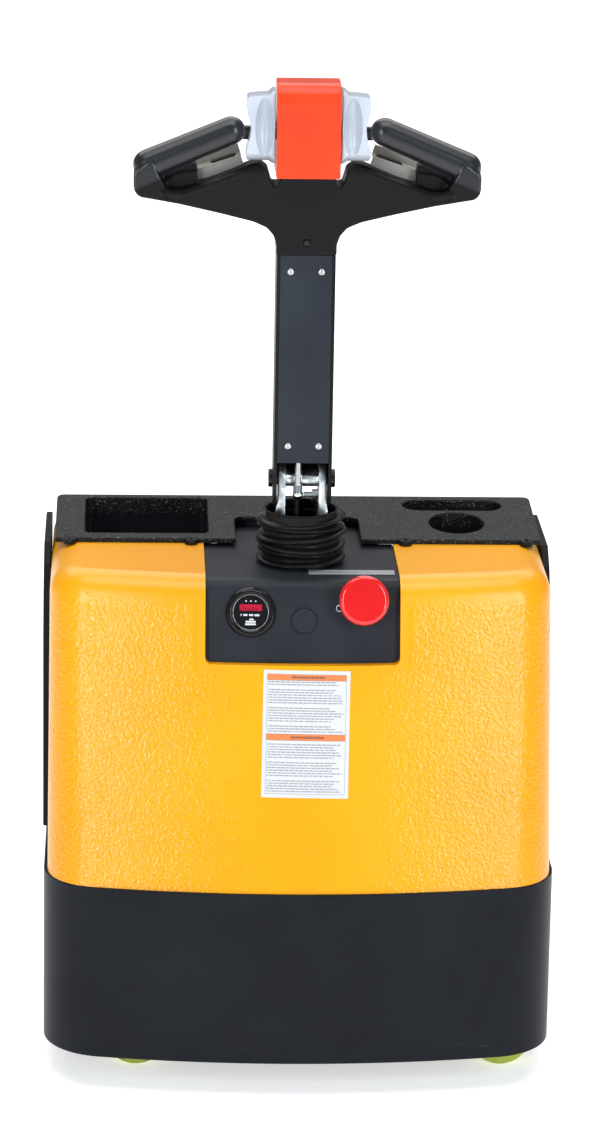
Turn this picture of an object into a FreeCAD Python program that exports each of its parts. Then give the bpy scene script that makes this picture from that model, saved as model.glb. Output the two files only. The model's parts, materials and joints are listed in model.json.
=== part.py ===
import FreeCAD, Part
import math
import os

# Electric pallet truck, built around its own frame: +X right, +Y towards the fork tips, +Z up.
# Stations along the truck are written from the front of the bumper; placed() moves each finished
# piece so that the origin ends up on the floor, in the middle of the whole truck.

# ---- driving dimensions, millimetres ----------------------------------------------------------
body_width = 620.0
body_depth = 465.0
bumper_bottom = 41.0
bumper_top = 258.0
bumper_wall = 8.0
bumper_edge_radius = 1.5
bow_radius = 1310.0
bumper_corner = 82.0
deck_thickness = 10.0

cover_step = 4.6
cover_top = 620.0
cover_lean = 101.0
cover_taper = 1.2
cover_corner = 66.0
cover_wall = 6.0
cover_depth = 440.0
cover_fold = 34.0
top_shelf_end = 285.0

panel_half_width = 116.4
panel_bottom = 522.0
panel_drop = 4.0
panel_inset = 9.0
panel_wall = 4.0
panel_fold = 18.0
panel_back = 372.0
lip_depth = 14.0
lip_width = 6.0

tray_inset = 10.0
tray_front = 270.0
tray_back = 445.0
tray_front_height = 6.0
tray_slope = math.radians(3.0)
tray_skin = 5.0
pocket_wall = 4.0
tray_rim_radius = 2.5

side_plate_thickness = 8.0
side_plate_proud = 4.0
side_plate_top = 606.0
side_plate_front = 250.0
bulkhead_front = 400.0
bulkhead_thickness = 4.0
bulkhead_top = 580.0

steer_station = 208.0
drive_wheel_radius = 105.0
drive_wheel_width = 70.0
drive_wheel_shift = -10.0
tread_thickness = 21.0
ring_height = 20.0
ring_gap = 0.3
ring_outer_radius = 102.0
ring_joint_radius = 85.0
ring_bore_radius = 64.0
motor_radius = 60.0
motor_height = 182.0
column_top = 535.0
column_radius = 42.0
column_rise = 97.0
bracket_reach = 81.0

pivot_height = 720.0
arm_width = 70.0
arm_depth = 60.0
arm_wall = 4.0
arm_top = 1001.0
arm_end_radius = 33.0
arm_cover_start = 746.0
clevis_half_gap = 20.0
clevis_thickness = 9.0
clevis_half_depth = 22.0
pivot_tube_radius = 10.0
pivot_bolt_radius = 8.0

spring_ball = (-5.0, steer_station - 16.5, 704.0)
spring_pin_rise = 200.0
spring_bay = 16.0
spring_cylinder_radius = 9.0
spring_rod_radius = 4.0
spring_pin_radius = 4.0

head_half_width = 206.0
grip_radius = 17.0
grip_station = steer_station - 12.0
throttle_station = steer_station - 8.0
throttle_height = 1155.0
throttle_shaft_radius = 6.0
paddle_reach = 43.0
paddle_inner = 39.5
paddle_outer = 73.0
paddle_back = 6.0
cap_half_width = 38.0
cap_front = steer_station - 46.0
cap_back = steer_station + 30.0
cap_bottom = 1096.0
cap_top = 1207.0
cap_wall = 4.0
cap_fold = 22.0
cap_travel = 8.0
button_slope = 18.7
loop_origin = (-130.0, steer_station + 6.0, 1083.0)

fork_length = 1150.0
fork_spread = 540.0
fork_width = 160.0
fork_top = 85.0
fork_depth = 55.0
fork_skin = 6.0
carriage_front = 470.0
carriage_thickness = 10.0
carriage_top = 500.0
shoe_bottom = 290.0
lift_travel = 115.0

load_roller_radius = 37.0
load_roller_width = 64.0
roller_arm = 165.0
roller_pivot_height = 48.0
roller_setback = 150.0
rocker_station = 445.0
rocker_height = 92.0
rocker_tube_radius = 12.0
crank_radius = 24.0
crank_pin_radius = 4.0
crank_slot_play = 2.2
link_pin_radius = 6.0
link_station_x = 230.0
push_rod_radius = 7.0

caster_radius = 37.5
caster_width = 32.0
caster_station_x = 225.0
caster_station_y = 115.0
caster_trail = 28.0
caster_plate_height = 104.0
caster_plate_thickness = 8.0
caster_stem_radius = 8.0

running_gap = 0.05
free_gap = 0.5

# ---- sizes that follow from the driving dimensions --------------------------------------------
half_body = body_width / 2
side_plate_outer = half_body + side_plate_proud
fork_root = carriage_front + carriage_thickness
overall_length = fork_root + fork_length
fork_centre = (fork_spread - fork_width) / 2
deck_top = bumper_top
deck_bottom = bumper_top - deck_thickness
lean_angle = math.degrees(math.atan(cover_lean / (cover_top - bumper_top)))
panel_top = cover_top - panel_drop
arm_half = arm_width / 2
arm_front = steer_station - arm_depth / 2
arm_back = steer_station + arm_depth / 2
rim_radius = drive_wheel_radius - tread_thickness
roller_station = overall_length - roller_setback
pivot_drop = roller_pivot_height - load_roller_radius
roller_pivot_station = roller_station - math.sqrt(roller_arm ** 2 - pivot_drop ** 2)
bracket_swing = math.asin((pivot_drop + lift_travel) / roller_arm) - math.asin(pivot_drop / roller_arm)
half_swing = bracket_swing / 2
link_arm = lift_travel / 2 / math.sin(half_swing)
link_pin_height = rocker_height + lift_travel / 2
rod_height = (rocker_height + roller_pivot_height) / 2

V = FreeCAD.Vector
X = V(1, 0, 0)
Y = V(0, 1, 0)
Z = V(0, 0, 1)


# ---- small tools ------------------------------------------------------------------------------
def box(x0, x1, y0, y1, z0, z1):
    return Part.makeBox(x1 - x0, y1 - y0, z1 - z0, V(x0, y0, z0))


def rod(x, y, z, axis, length, radius):
    return Part.makeCylinder(radius, length, V(x, y, z), axis)


def pipe(x, y, z, axis, length, outer, inner):
    return rod(x, y, z, axis, length, outer).cut(rod(x, y, z, axis, length, inner))


def ball(x, y, z, radius):
    return Part.makeSphere(radius, V(x, y, z))


def prism(points, travel):
    """A solid from a closed polygon of 3-D points, pushed along a vector."""
    corners = [V(*p) for p in points]
    return Part.Face(Part.makePolygon(corners + corners[:1])).extrude(travel)


def plate_x(outline, x0, x1):
    return prism([(x0, y, z) for y, z in outline], V(x1 - x0, 0, 0))


def plate_y(outline, y0, y1):
    return prism([(x, y0, z) for x, z in outline], V(0, y1 - y0, 0))


def join(*shapes):
    return shapes[0].fuse(list(shapes[1:])).removeSplitter()


def mirrored(shape):
    return shape.mirror(V(0, 0, 0), X)


def pair(shape):
    """The same piece on the right and on the left of the truck."""
    return [shape, mirrored(shape)]


def rounded(shape, radius, chosen):
    return shape.makeFillet(radius, [edge for edge in shape.Edges if chosen(edge)])


def runs_along(axis):
    """Chooses the straight edges parallel to an axis."""
    def chosen(edge):
        if edge.Curve.TypeId != "Part::GeomLine":
            return False
        return abs(edge.tangentAt(edge.FirstParameter).dot(axis)) > 0.999
    return chosen


def soft_box(x0, x1, y0, y1, z0, z1, axis, radius):
    return rounded(box(x0, x1, y0, y1, z0, z1), radius, runs_along(axis))


def turned(shape, centre, axis, degrees):
    copy = shape.copy()
    copy.rotate(V(*centre), axis, degrees)
    return copy


def moved(shape, x, y, z):
    copy = shape.copy()
    copy.translate(V(x, y, z))
    return copy


def placed(shape):
    return moved(shape, 0, -overall_length / 2, 0)


def save(node, *shapes):
    solids = [solid for shape in shapes for solid in placed(shape).Solids]
    result = solids[0] if len(solids) == 1 else Part.makeCompound(solids)
    result.exportStep("parts/" + node + ".step")


# ---- plan outline shared by bumper, cover, panel and labels ------------------------------------
def plan_wire(z, front, half_width, corner, back, inset):
    """Bowed front, two round corners tangent to it, straight sides, flat back; inset is parallel."""
    front, half_width, corner = front + inset, half_width - inset, corner - inset
    bow = bow_radius - inset
    centre_x = half_width - corner
    centre_y = front + bow - math.sqrt((bow - corner) ** 2 - centre_x ** 2)
    aim = math.atan2(centre_x, front + bow - centre_y)
    touch = V(centre_x + corner * math.sin(aim), centre_y - corner * math.cos(aim), z)
    half_aim = (aim + math.pi / 2) / 2
    middle = V(centre_x + corner * math.sin(half_aim), centre_y - corner * math.cos(half_aim), z)
    side = V(half_width, centre_y, z)
    rear = V(half_width, back, z)

    def left(p):
        return V(-p.x, p.y, p.z)

    edges = [
        Part.LineSegment(left(rear), left(side)).toShape(),
        Part.Arc(left(side), left(middle), left(touch)).toShape(),
        Part.Arc(left(touch), V(0, front, z), touch).toShape(),
        Part.Arc(touch, middle, side).toShape(),
        Part.LineSegment(side, rear).toShape(),
        Part.LineSegment(rear, left(rear)).toShape(),
    ]
    return Part.Wire(edges)


def bumper_block(inset, back, z0, z1):
    wire = plan_wire(z0, 0.0, half_body, bumper_corner, back, inset)
    return Part.Face(wire).extrude(V(0, 0, z1 - z0))


def cover_wire(z, inset, back):
    rise = (z - bumper_top) / (cover_top - bumper_top)
    front = cover_step + cover_lean * rise
    half_width = half_body - cover_step - cover_taper * rise
    corner = cover_corner - 12.0 * rise
    return plan_wire(z, front, half_width, corner, back, inset)


def cover_block(inset, back, z0, z1):
    return Part.makeLoft([cover_wire(z0, inset, back), cover_wire(z1, inset, back)], True, True)


def rounded_cover_block(inset, back, z0, z1, radius):
    """The leaning block with its upper rim rounded, except along the back."""
    block = cover_block(inset, back, z0, z1)

    def upper_rim(edge):
        box_ = edge.BoundBox
        return box_.ZMin > z1 - 0.1 and box_.YMin < back - 1
    return rounded(block, radius, upper_rim)


# ---- chassis ----------------------------------------------------------------------------------
def bumper():
    """Steel bumper skirt with the two caster plates welded inside its corners."""
    skirt = bumper_block(0, body_depth, bumper_bottom, bumper_top)

    def rim(edge):
        return edge.BoundBox.ZLength < 0.1 and edge.BoundBox.YMin < body_depth - 1
    skirt = rounded(skirt, bumper_edge_radius, rim)
    skirt = skirt.cut(bumper_block(bumper_wall, body_depth + 50, bumper_bottom - 5, bumper_top + 5))
    z0 = caster_plate_height
    z1 = z0 + caster_plate_thickness
    corner = bumper_block(bumper_wall, body_depth, z0, z1)
    corner = corner.common(box(150, half_body, 0, 190, z0, z1))
    stem_hole = rod(caster_station_x, caster_station_y, z0 - 1, Z, z1 - z0 + 2,
                    caster_stem_radius + running_gap)
    return join(skirt, *pair(corner.cut(stem_hole)))


def deck():
    """Deck plate inside the bumper, with the steering hole and the two slotted link brackets."""
    plate = bumper_block(bumper_wall, body_depth, deck_bottom, deck_top)
    hole = rod(0, steer_station, deck_bottom - 1, Z, deck_thickness + 2, ring_joint_radius - 4)
    plate = plate.cut(hole)
    pin_far = rocker_station - link_arm
    pin_near = rocker_station - link_arm * math.cos(half_swing)
    cheeks = []
    for side in (-1, 1):
        inner = link_station_x + side * 6.0
        outer = link_station_x + side * 11.0
        cheek = box(min(inner, outer), max(inner, outer), pin_far - 22, pin_near + 22,
                    link_pin_height - 16, deck_bottom)
        reach = link_pin_radius + 1.0
        slot = box(inner - 12, inner + 12, pin_far, pin_near,
                   link_pin_height - reach, link_pin_height + reach)
        ends = [rod(inner - 12, y, link_pin_height, X, 24, reach) for y in (pin_far, pin_near)]
        cheeks += pair(cheek.cut(join(slot, *ends)))
    return join(plate, *cheeks)


def side_plate():
    outline = [(side_plate_front, bumper_top), (side_plate_front, side_plate_top - 100),
               (side_plate_front + 12, side_plate_top - 62), (side_plate_front + 42, side_plate_top - 20),
               (side_plate_front + 70, side_plate_top), (body_depth, side_plate_top),
               (body_depth, bumper_top)]
    plate = plate_x(outline, side_plate_outer - side_plate_thickness, side_plate_outer)
    return rounded(plate, 1.5, lambda e: e.BoundBox.XMin > side_plate_outer - 0.1)


def tray_underside(y):
    return cover_top + tray_front_height - tray_skin + (y - tray_front) * math.tan(tray_slope)


guide_x = 160.0
guide_half_width = 20.0
guide_wall = 5.0
guide_depth = 36.0


def bulkhead():
    """Rear bulkhead with the two channels that guide the fork carriage."""
    inside = half_body - cover_step - cover_taper - cover_wall - free_gap
    back = bulkhead_front + bulkhead_thickness
    sheet = box(-inside, inside, bulkhead_front, back, deck_top, bulkhead_top)
    channel = box(guide_x - guide_half_width, guide_x + guide_half_width, back, back + guide_depth,
                  deck_top, bulkhead_top)
    groove = box(guide_x - guide_half_width + guide_wall, guide_x + guide_half_width - guide_wall,
                 back + guide_wall, back + guide_depth + 1, deck_top - 1, bulkhead_top + 1)
    return join(sheet, *pair(channel.cut(groove)))


# ---- front cover, panel and labels -------------------------------------------------------------
def panel_window(margin, depth_end):
    """Prism through which the control panel shows, round at its two lower corners."""
    half = panel_half_width + margin
    low = panel_bottom - margin
    window = box(-half, half, -60, depth_end, low, cover_top + 80)

    def lower_corner(edge):
        return runs_along(Y)(edge) and edge.BoundBox.ZMax < low + 1
    return rounded(window, 7.0 + margin, lower_corner)


def front_cover():
    outer = rounded_cover_block(0, cover_depth, bumper_top, cover_top, cover_fold)
    inner = rounded_cover_block(cover_wall, cover_depth + 40, bumper_top - 6, cover_top - cover_wall,
                                cover_fold - cover_wall)
    deeper = cover_block(lip_depth, cover_depth + 40, bumper_top - 6, cover_top - cover_wall)
    shell = outer.cut(inner)
    lip = outer.cut(deeper).common(panel_window(lip_width, top_shelf_end))
    shell = join(shell, lip).cut(panel_window(0.6, cover_depth + 50))
    ledge = 14.0
    inside = half_body - cover_step - cover_taper - ledge
    opening = box(-inside, inside, top_shelf_end, cover_depth + 50, cover_top - 40, cover_top + 40)
    return shell.cut(opening)


boot_hole_radius = 46.0
gauge_place = (-62.5, 580.0)
plug_place = (1.5, 571.0)
stop_place = (71.0, 594.5)
gauge_hole_radius = 25.0
plug_hole_radius = 13.0
stop_hole_radius = 11.0


def on_panel(shape, place):
    """Puts a piece, built to face -Y with its seat at the origin, on the leaning panel face."""
    x, z = place
    rise = (z - bumper_top) / (cover_top - bumper_top)
    y = cover_step + cover_lean * rise + panel_inset + x * x / 2 / bow_radius
    yaw = math.degrees(math.asin(x / (bow_radius - panel_inset)))
    leaning = turned(shape, (0, 0, 0), X, -lean_angle)
    return moved(turned(leaning, (0, 0, 0), Z, yaw), x, y, z)


def control_panel():
    back = panel_back
    outer = rounded_cover_block(panel_inset, back, panel_bottom - 10, panel_top, panel_fold)
    inner = rounded_cover_block(panel_inset + panel_wall, back + 30, panel_bottom - 20,
                                panel_top - panel_wall, panel_fold - panel_wall)
    body = outer.common(panel_window(0, back))
    hollow = inner.common(panel_window(-panel_wall, back + 30))
    flange = cover_block(lip_depth, top_shelf_end, panel_bottom - 10, panel_top - cover_fold)
    flange = flange.cut(cover_block(lip_depth + 3, top_shelf_end + 20, panel_bottom - 30, panel_top))
    flange = flange.common(panel_window(9.0, 200.0))
    upstand = box(-panel_half_width, panel_half_width, back - panel_wall, back, panel_top - panel_wall,
                  tray_underside(back - panel_wall) - 1)
    body = join(body, flange).cut(hollow)
    wide = panel_half_width + 20
    body = body.cut(box(-wide, wide, 126, back + 10, panel_bottom - 30, panel_top - panel_wall))
    body = join(body, upstand)
    for corner in pair(box(100, wide, top_shelf_end - 1, back + 10, panel_bottom, panel_top + 10)):
        body = body.cut(corner)
    holes = [rod(0, steer_station, panel_top - 20, Z, 40, boot_hole_radius)]
    for place, radius in ((gauge_place, gauge_hole_radius), (plug_place, plug_hole_radius),
                          (stop_place, stop_hole_radius)):
        holes.append(on_panel(rod(0, -20, 0, Y, 50, radius), place))
    for hole in holes:
        body = body.cut(hole)
    return body


def gauge_bezel():
    ring = pipe(0, -6, 0, Y, 6, 30.0, 21.5)
    ring = rounded(ring, 2.5, lambda e: e.BoundBox.YMax < -5.9 and e.BoundBox.XMax > 25)
    barrel = pipe(0, 0, 0, Y, 32, gauge_hole_radius - 0.3, 21.5)
    return on_panel(join(ring, barrel), gauge_place)


def gauge_dial():
    return on_panel(rod(0, -3, 0, Y, 33, 21.5), gauge_place)


def blank_plug():
    head = rounded(rod(0, -2, 0, Y, 2, 15.0), 0.8, lambda e: e.BoundBox.YMax < -1.9)
    return on_panel(join(head, rod(0, 0, 0, Y, 9, plug_hole_radius - 0.2)), plug_place)


def stop_base():
    collar = pipe(0, -8, 0, Y, 8, 19.0, 8.0 + running_gap)
    barrel = pipe(0, 0, 0, Y, 40, stop_hole_radius - 0.2, 8.0 + running_gap)
    return on_panel(join(collar, barrel), stop_place)


def stop_button():
    """Mushroom head on its stem; it pushes in towards the panel."""
    head = rod(0, -31, 0, Y, 15, 30.0)
    head = rounded(head, 6.0, lambda e: e.BoundBox.YMax < -30.9)
    return on_panel(join(head, rod(0, -16, 0, Y, 44, 8.0)), stop_place)


def labels():
    """Instruction label on the cover and a narrow strip on the top of the panel."""
    skin = cover_block(-0.4, cover_depth, bumper_top, cover_top)
    skin = skin.cut(cover_block(0, cover_depth, bumper_top, cover_top))
    sheet = skin.common(box(-48, 56, -10, 120, 368, 516))
    strip = box(8, 112, 145, 164, panel_top, panel_top + 0.4)
    return [sheet, strip]


# ---- storage tray ------------------------------------------------------------------------------
clip_places = ((132.0, 266.0), (282.0, 266.0))
cup_centre = (200.0, 338.0)
cup_half = (34.0, 41.0)
slot_box = (137.0, 261.0, 388.0, 430.0)
recess_box = (-263.0, -111.0, 292.0, 432.0)
recess_floor = 588.0
slot_floor = 592.0
cup_floor = 566.0


def lies_on_tray_top(edge):
    def height(y):
        return cover_top + tray_front_height + (y - tray_front) * math.tan(tray_slope)
    return all(abs(point.z - height(point.y)) < 0.05 for point in edge.discretize(5))


def oval(centre, half, z0, z1):
    """Upright oval column."""
    wide, deep = half
    major = max(wide, deep)
    curve = Part.Ellipse(V(0, 0, 0), major, min(wide, deep))
    column = Part.Face(Part.Wire(curve.toShape())).extrude(V(0, 0, z1 - z0))
    if deep > wide:
        column = turned(column, (0, 0, 0), Z, 90)
    return moved(column, centre[0], centre[1], z0)


def storage_tray():
    half = half_body - tray_inset
    rise = (tray_back - tray_front) * math.tan(tray_slope)
    top_front = cover_top + tray_front_height
    outline = [(tray_front, cover_top), (tray_front, top_front), (tray_back, top_front + rise),
               (tray_back, cover_top - 20), (tray_back - 4, cover_top - 20), (tray_back - 4, cover_top)]
    body = plate_x(outline, -half, half)
    body = rounded(body, 10.0, lambda e: runs_along(Z)(e) and e.BoundBox.YMin > tray_back - 0.1)
    edge = 10.0
    under = [(tray_front + edge, cover_top - 1), (tray_front + edge, tray_underside(tray_front + edge)),
             (tray_back - 4, tray_underside(tray_back - 4)), (tray_back - 4, cover_top - 1)]
    body = body.cut(plate_x(under, -half + edge, half - edge))

    high = top_front + rise + 10
    x0, x1, y0, y1 = recess_box
    w = pocket_wall
    pocket = soft_box(x0, x1, y0, y1, recess_floor, high, Z, 8)
    shells = [soft_box(x0 - w, x1 + w, y0 - w, y1 + w, recess_floor - w, high, Z, 8 + w)]
    sx0, sx1, sy0, sy1 = slot_box
    slot = soft_box(sx0, sx1, sy0, sy1, slot_floor, high, Z, (sy1 - sy0) / 2 - 1)
    shells.append(soft_box(sx0 - w, sx1 + w, sy0 - w, sy1 + w, slot_floor - w, high, Z,
                           (sy1 - sy0) / 2 - 1 + w))
    cup = oval(cup_centre, cup_half, cup_floor, high)
    shells.append(oval(cup_centre, (cup_half[0] + w, cup_half[1] + w), cup_floor - w, high))
    top = [(tray_front - 5, top_front - 5 * math.tan(tray_slope)), (tray_back + 5, top_front + rise),
           (tray_back + 5, high + 20), (tray_front - 5, high + 20)]
    above = plate_x(top, -half - 5, half + 5)
    body = join(body, *[shell.cut(above) for shell in shells])
    for hollow in (pocket, slot, cup):
        body = body.cut(hollow)

    notch = soft_box(-77, 77, tray_front - 40, 358, cover_top - 60, high, Z, 12)
    body = body.cut(notch)
    for x, y in clip_places:
        for side in (-1, 1):
            body = body.cut(rod(side * x, y, cover_top - 10, Z, 60, 8.4))
    return rounded(body, tray_rim_radius, lies_on_tray_top)


def tray_clips():
    clips = []
    for x, y in clip_places:
        head = rod(x, y, cover_top, Z, 6.5, 8.0)
        head = rounded(head, 1.5, lambda e: e.BoundBox.ZMin > cover_top + 6.4)
        head = head.cut(box(x - 1.2, x + 1.2, y - 9, y + 9, cover_top + 4, cover_top + 8))
        clips += pair(head)
    return clips


# ---- drive unit and steering column ------------------------------------------------------------
def ring_outer():
    return pipe(0, steer_station, deck_top, Z, ring_height - 4, ring_outer_radius, ring_joint_radius)


def ring_inner():
    return pipe(0, steer_station, deck_top, Z, ring_height, ring_joint_radius - ring_gap, ring_bore_radius)


def gearbox():
    """Right-angle gearbox: round neck through the deck, and a leg down one side of the wheel."""
    neck_top = deck_top
    wheel_top = 2 * drive_wheel_radius
    inner = drive_wheel_shift + drive_wheel_width / 2 + 6
    outer = inner + 46
    neck = rod(0, steer_station, wheel_top + 20, Z, neck_top - wheel_top - 20, 76)
    bridge = box(-30, outer, steer_station - 50, steer_station + 50, wheel_top + 8, wheel_top + 22)
    leg = box(inner, outer, steer_station - 50, steer_station + 50, drive_wheel_radius, wheel_top + 8)
    boss = rod(inner, steer_station, drive_wheel_radius, X, outer - inner, 50)
    body = join(neck, bridge, leg, boss)
    return body.cut(rod(inner - 1, steer_station, drive_wheel_radius, X, 31, 15 + running_gap))


def drive_motor():
    body = rod(0, steer_station, deck_top, Z, motor_height, motor_radius)
    return rounded(body, 6, lambda e: e.BoundBox.ZMin > deck_top + motor_height - 0.1)


def motor_brake():
    top = deck_top + motor_height
    disc = rod(0, steer_station, top, Z, 34, 44)
    return join(disc, rod(0, steer_station, top + 34, Z, 8, 14))


def steering_bracket():
    """Two legs on the turning ring, a bridge over the motor, and the column tube."""
    foot = deck_top + ring_height
    leg = box(67, 77, steer_station - 24, steer_station + 24, foot, column_top)
    bridge = box(-77, 77, steer_station - 44, steer_station + 44, column_top - 10, column_top)
    bridge = bridge.common(rod(0, steer_station, column_top - 10, Z, 10, bracket_reach))
    tube = pipe(0, steer_station, column_top, Z, column_rise, column_radius, column_radius - 4)
    return join(bridge, tube, *pair(leg))


def tiller_clevis():
    """Two zinc plates from the column up to the tiller pivot, tied by a tube round the pivot."""
    y = steer_station
    d = clevis_half_depth
    x0 = clevis_half_gap
    x1 = x0 + clevis_thickness
    plate = box(x0, x1, y - d, y + d, column_top, pivot_height)
    plate = join(plate, rod(x0, y, pivot_height, X, clevis_thickness, d))
    foot_low = column_top + column_rise + 6
    foot = prism([(x1, y - d, foot_low), (x1 + 3, y - d, foot_low), (x1 + 3, y - d, pivot_height - 38),
                  (x1, y - d, pivot_height - 24)], V(0, 14, 0))
    plates = pair(join(plate, foot))
    tube = rod(-x0, y, pivot_height, X, 2 * x0, pivot_tube_radius)
    body = join(tube, *plates)
    return body.cut(rod(-x1 - 1, y, pivot_height, X, 2 * x1 + 2, pivot_bolt_radius))


def pivot_bolts():
    """Two shouldered bolts, screwed in from outside the arm's cheeks."""
    head_seat = arm_half + free_gap
    shank = rod(2, steer_station, pivot_height, X, head_seat - 2, pivot_bolt_radius)
    head = rounded(rod(head_seat, steer_station, pivot_height, X, 5, 11), 1.2,
                   lambda e: e.BoundBox.XMin > head_seat + 4.9)
    socket = rod(head_seat + 2, steer_station, pivot_height, X, 4, 4)
    return pair(join(shank, head).cut(socket))


def ball_stud():
    """Ball stud of the gas spring, held by a nut in the right-hand clevis plate."""
    bx, by, bz = spring_ball
    stub_start = bx + 7.0
    neck = rod(stub_start, by, bz, X, clevis_half_gap - stub_start, 3)
    nut = Part.makePolygon([V(12, by + 6.5 * math.cos(math.radians(60 * k)),
                              bz + 6.5 * math.sin(math.radians(60 * k))) for k in range(7)])
    nut = Part.Face(nut).extrude(V(clevis_half_gap - 12, 0, 0))
    return join(neck, nut)


boot_base = cover_top - panel_drop + 1.0
boot_height = 66.0
boot_folds = 6
boot_peak = 53.0
boot_valley = 46.0
boot_wall = 2.5


def steering_boot():
    """Rubber bellows pushed over the column tube."""
    outer = []
    step = (boot_height - 8) / boot_folds
    for fold in range(boot_folds):
        base = boot_base + fold * step
        outer += [(boot_valley, base), (boot_peak, base + step * 0.5)]
    outer += [(boot_valley, boot_base + boot_height - 8), (boot_valley - 1, boot_base + boot_height)]
    inner = [(r - boot_wall, z) for r, z in reversed(outer)]
    points = [V(r, 0, z) for r, z in outer + inner]
    face = Part.Face(Part.makePolygon(points + points[:1]))
    bellows = face.revolve(V(0, 0, 0), Z, 360)
    cuff_low = boot_base - 9
    cuff = pipe(0, 0, cuff_low, Z, boot_base + 1 - cuff_low, boot_valley - 1.2, column_radius)
    return moved(join(bellows, cuff), 0, steer_station, 0)


def cable(points, radius):
    """Round cable along straight runs, with a ball at each turn."""
    pieces = []
    for start, end in zip(points, points[1:]):
        run = V(*end) - V(*start)
        pieces.append(Part.makeCylinder(radius, run.Length, V(*start), run))
    pieces += [ball(*p, radius) for p in points[1:-1]]
    return join(*pieces)


cable_x = -6.0
cable_radius = 3.5
cable_in_column = steer_station + 4.0
cable_in_arm = steer_station + 18.0


def column_cable():
    """Lower length of the control cable, up out of the column and round behind the pivot tube."""
    route = [(cable_x, cable_in_column, 600), (cable_x, cable_in_column, pivot_height - 36),
             (cable_x, cable_in_arm, pivot_height - 8)]
    return cable(route, cable_radius)


def arm_cable():
    route = [(cable_x, cable_in_arm, pivot_height + 6), (cable_x, cable_in_arm, arm_top - 20)]
    return cable(route, cable_radius)


# ---- drive wheel --------------------------------------------------------------------------------
def drive_tyre():
    x0 = drive_wheel_shift - drive_wheel_width / 2
    tyre = pipe(x0, steer_station, drive_wheel_radius, X, drive_wheel_width, drive_wheel_radius, rim_radius)
    return rounded(tyre, 4, lambda e: e.BoundBox.ZMax > 2 * drive_wheel_radius - 1)


def drive_hub():
    x0 = drive_wheel_shift - drive_wheel_width / 2
    hub = rod(x0 + 4, steer_station, drive_wheel_radius, X, drive_wheel_width - 8, rim_radius)
    dish = pipe(x0, steer_station, drive_wheel_radius, X, 22, rim_radius - 14, 30)
    axle = rod(x0 + 4, steer_station, drive_wheel_radius, X, drive_wheel_width + 26, 15)
    return join(hub.cut(dish), axle)


# ---- power pack ---------------------------------------------------------------------------------
def battery():
    case = soft_box(118, 286, 135, 393, deck_top, deck_top + 215, Z, 5)
    post = rod(150, 160, deck_top + 215, Z, 14, 9)
    return join(case, post, moved(post, 104, 0, 0))


pack_station = bulkhead_front - 38.0
tank_half_width = 108.0
tank_height = 70.0
tank_gap = 16.0


def oil_tank():
    """Oil tank between the turning ring and the bulkhead, with the valve block on top."""
    tank_front = steer_station + ring_outer_radius + tank_gap
    top = deck_top + tank_height
    tank = soft_box(-tank_half_width, tank_half_width, tank_front, bulkhead_front - 3, deck_top, top, Z, 8)
    valve = box(-92, -28, pack_station - 32, pack_station + 32, top, top + 38)
    return join(tank, valve, rod(70, pack_station, top, Z, 10, 14))


def pump_motor():
    body = rod(-60, pack_station, deck_top + tank_height + 38, Z, 120, 32)
    return rounded(body, 4, lambda e: e.BoundBox.ZMin > deck_top + 227.9)


def motor_controller():
    low = deck_top + tank_height
    front, back = pack_station - 28, pack_station + 30
    base = box(0, 104, front - 4, back + 4, low + 14, low + 26)
    case = soft_box(6, 98, front, back, low + 26, low + 60, Z, 4)
    fins = [box(6 + 12 * k, 10 + 12 * k, front, back, low + 60, low + 68) for k in range(8)]
    stand = box(20, 50, pack_station - 12, pack_station + 18, low, low + 14)
    return join(base, case, stand, *fins)


def horn():
    """Signal horn on a strap that stands on the deck."""
    disc = rod(-190, 84, 360, Y, 30, 38)
    mouth = rod(-190, 74, 360, Y, 10, 30)
    strap = box(-200, -180, 114, 118, deck_top, 380)
    return join(disc, mouth, strap)


def lift_barrel():
    foot = deck_top
    bore = pipe(0, 437, foot + 12, Z, 150, 24, 18)
    gland = pipe(0, 437, foot + 150, Z, 14, 24, 14 + running_gap)
    return join(rod(0, 437, foot, Z, 12, 28), bore, gland)


# ---- fork carriage and lifting linkage ------------------------------------------------------------
def carriage():
    """Back plate with guide shoes, a bracket over the ram and lugs for the rocker shaft."""
    y0 = carriage_front
    half = fork_spread / 2
    plate = box(-half, half, y0, fork_root, fork_top - 20, carriage_top)
    passage = box(fork_centre - 13, fork_centre + 13, y0 - 1, fork_root + 1, fork_top - 21, fork_top)
    for gap in pair(passage):
        plate = plate.cut(gap)
    shoe_half = guide_half_width - guide_wall - free_gap
    back = bulkhead_front + bulkhead_thickness
    shoe = box(guide_x - shoe_half, guide_x + shoe_half, back + guide_wall + free_gap, y0,
               shoe_bottom, bulkhead_top - lift_travel - 2)
    bracket = box(-36, 36, 412, y0, 436, 448)
    rib = prism([(30, y0, 448), (30, 420, 448), (30, y0, 490)], V(6, 0, 0))
    lug = box(243, 253, rocker_station - 20, y0, rocker_height - 20, rocker_height + 24)
    bore = rod(242, rocker_station, rocker_height, X, 12, rocker_tube_radius + running_gap)
    return join(plate, bracket, *pair(shoe), *pair(rib), *pair(lug.cut(bore)))


def lift_ram():
    shaft = rod(0, 437, 290, Z, 146, 14)
    return join(shaft, rod(0, 437, 275, Z, 15, 18 - running_gap))


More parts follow.
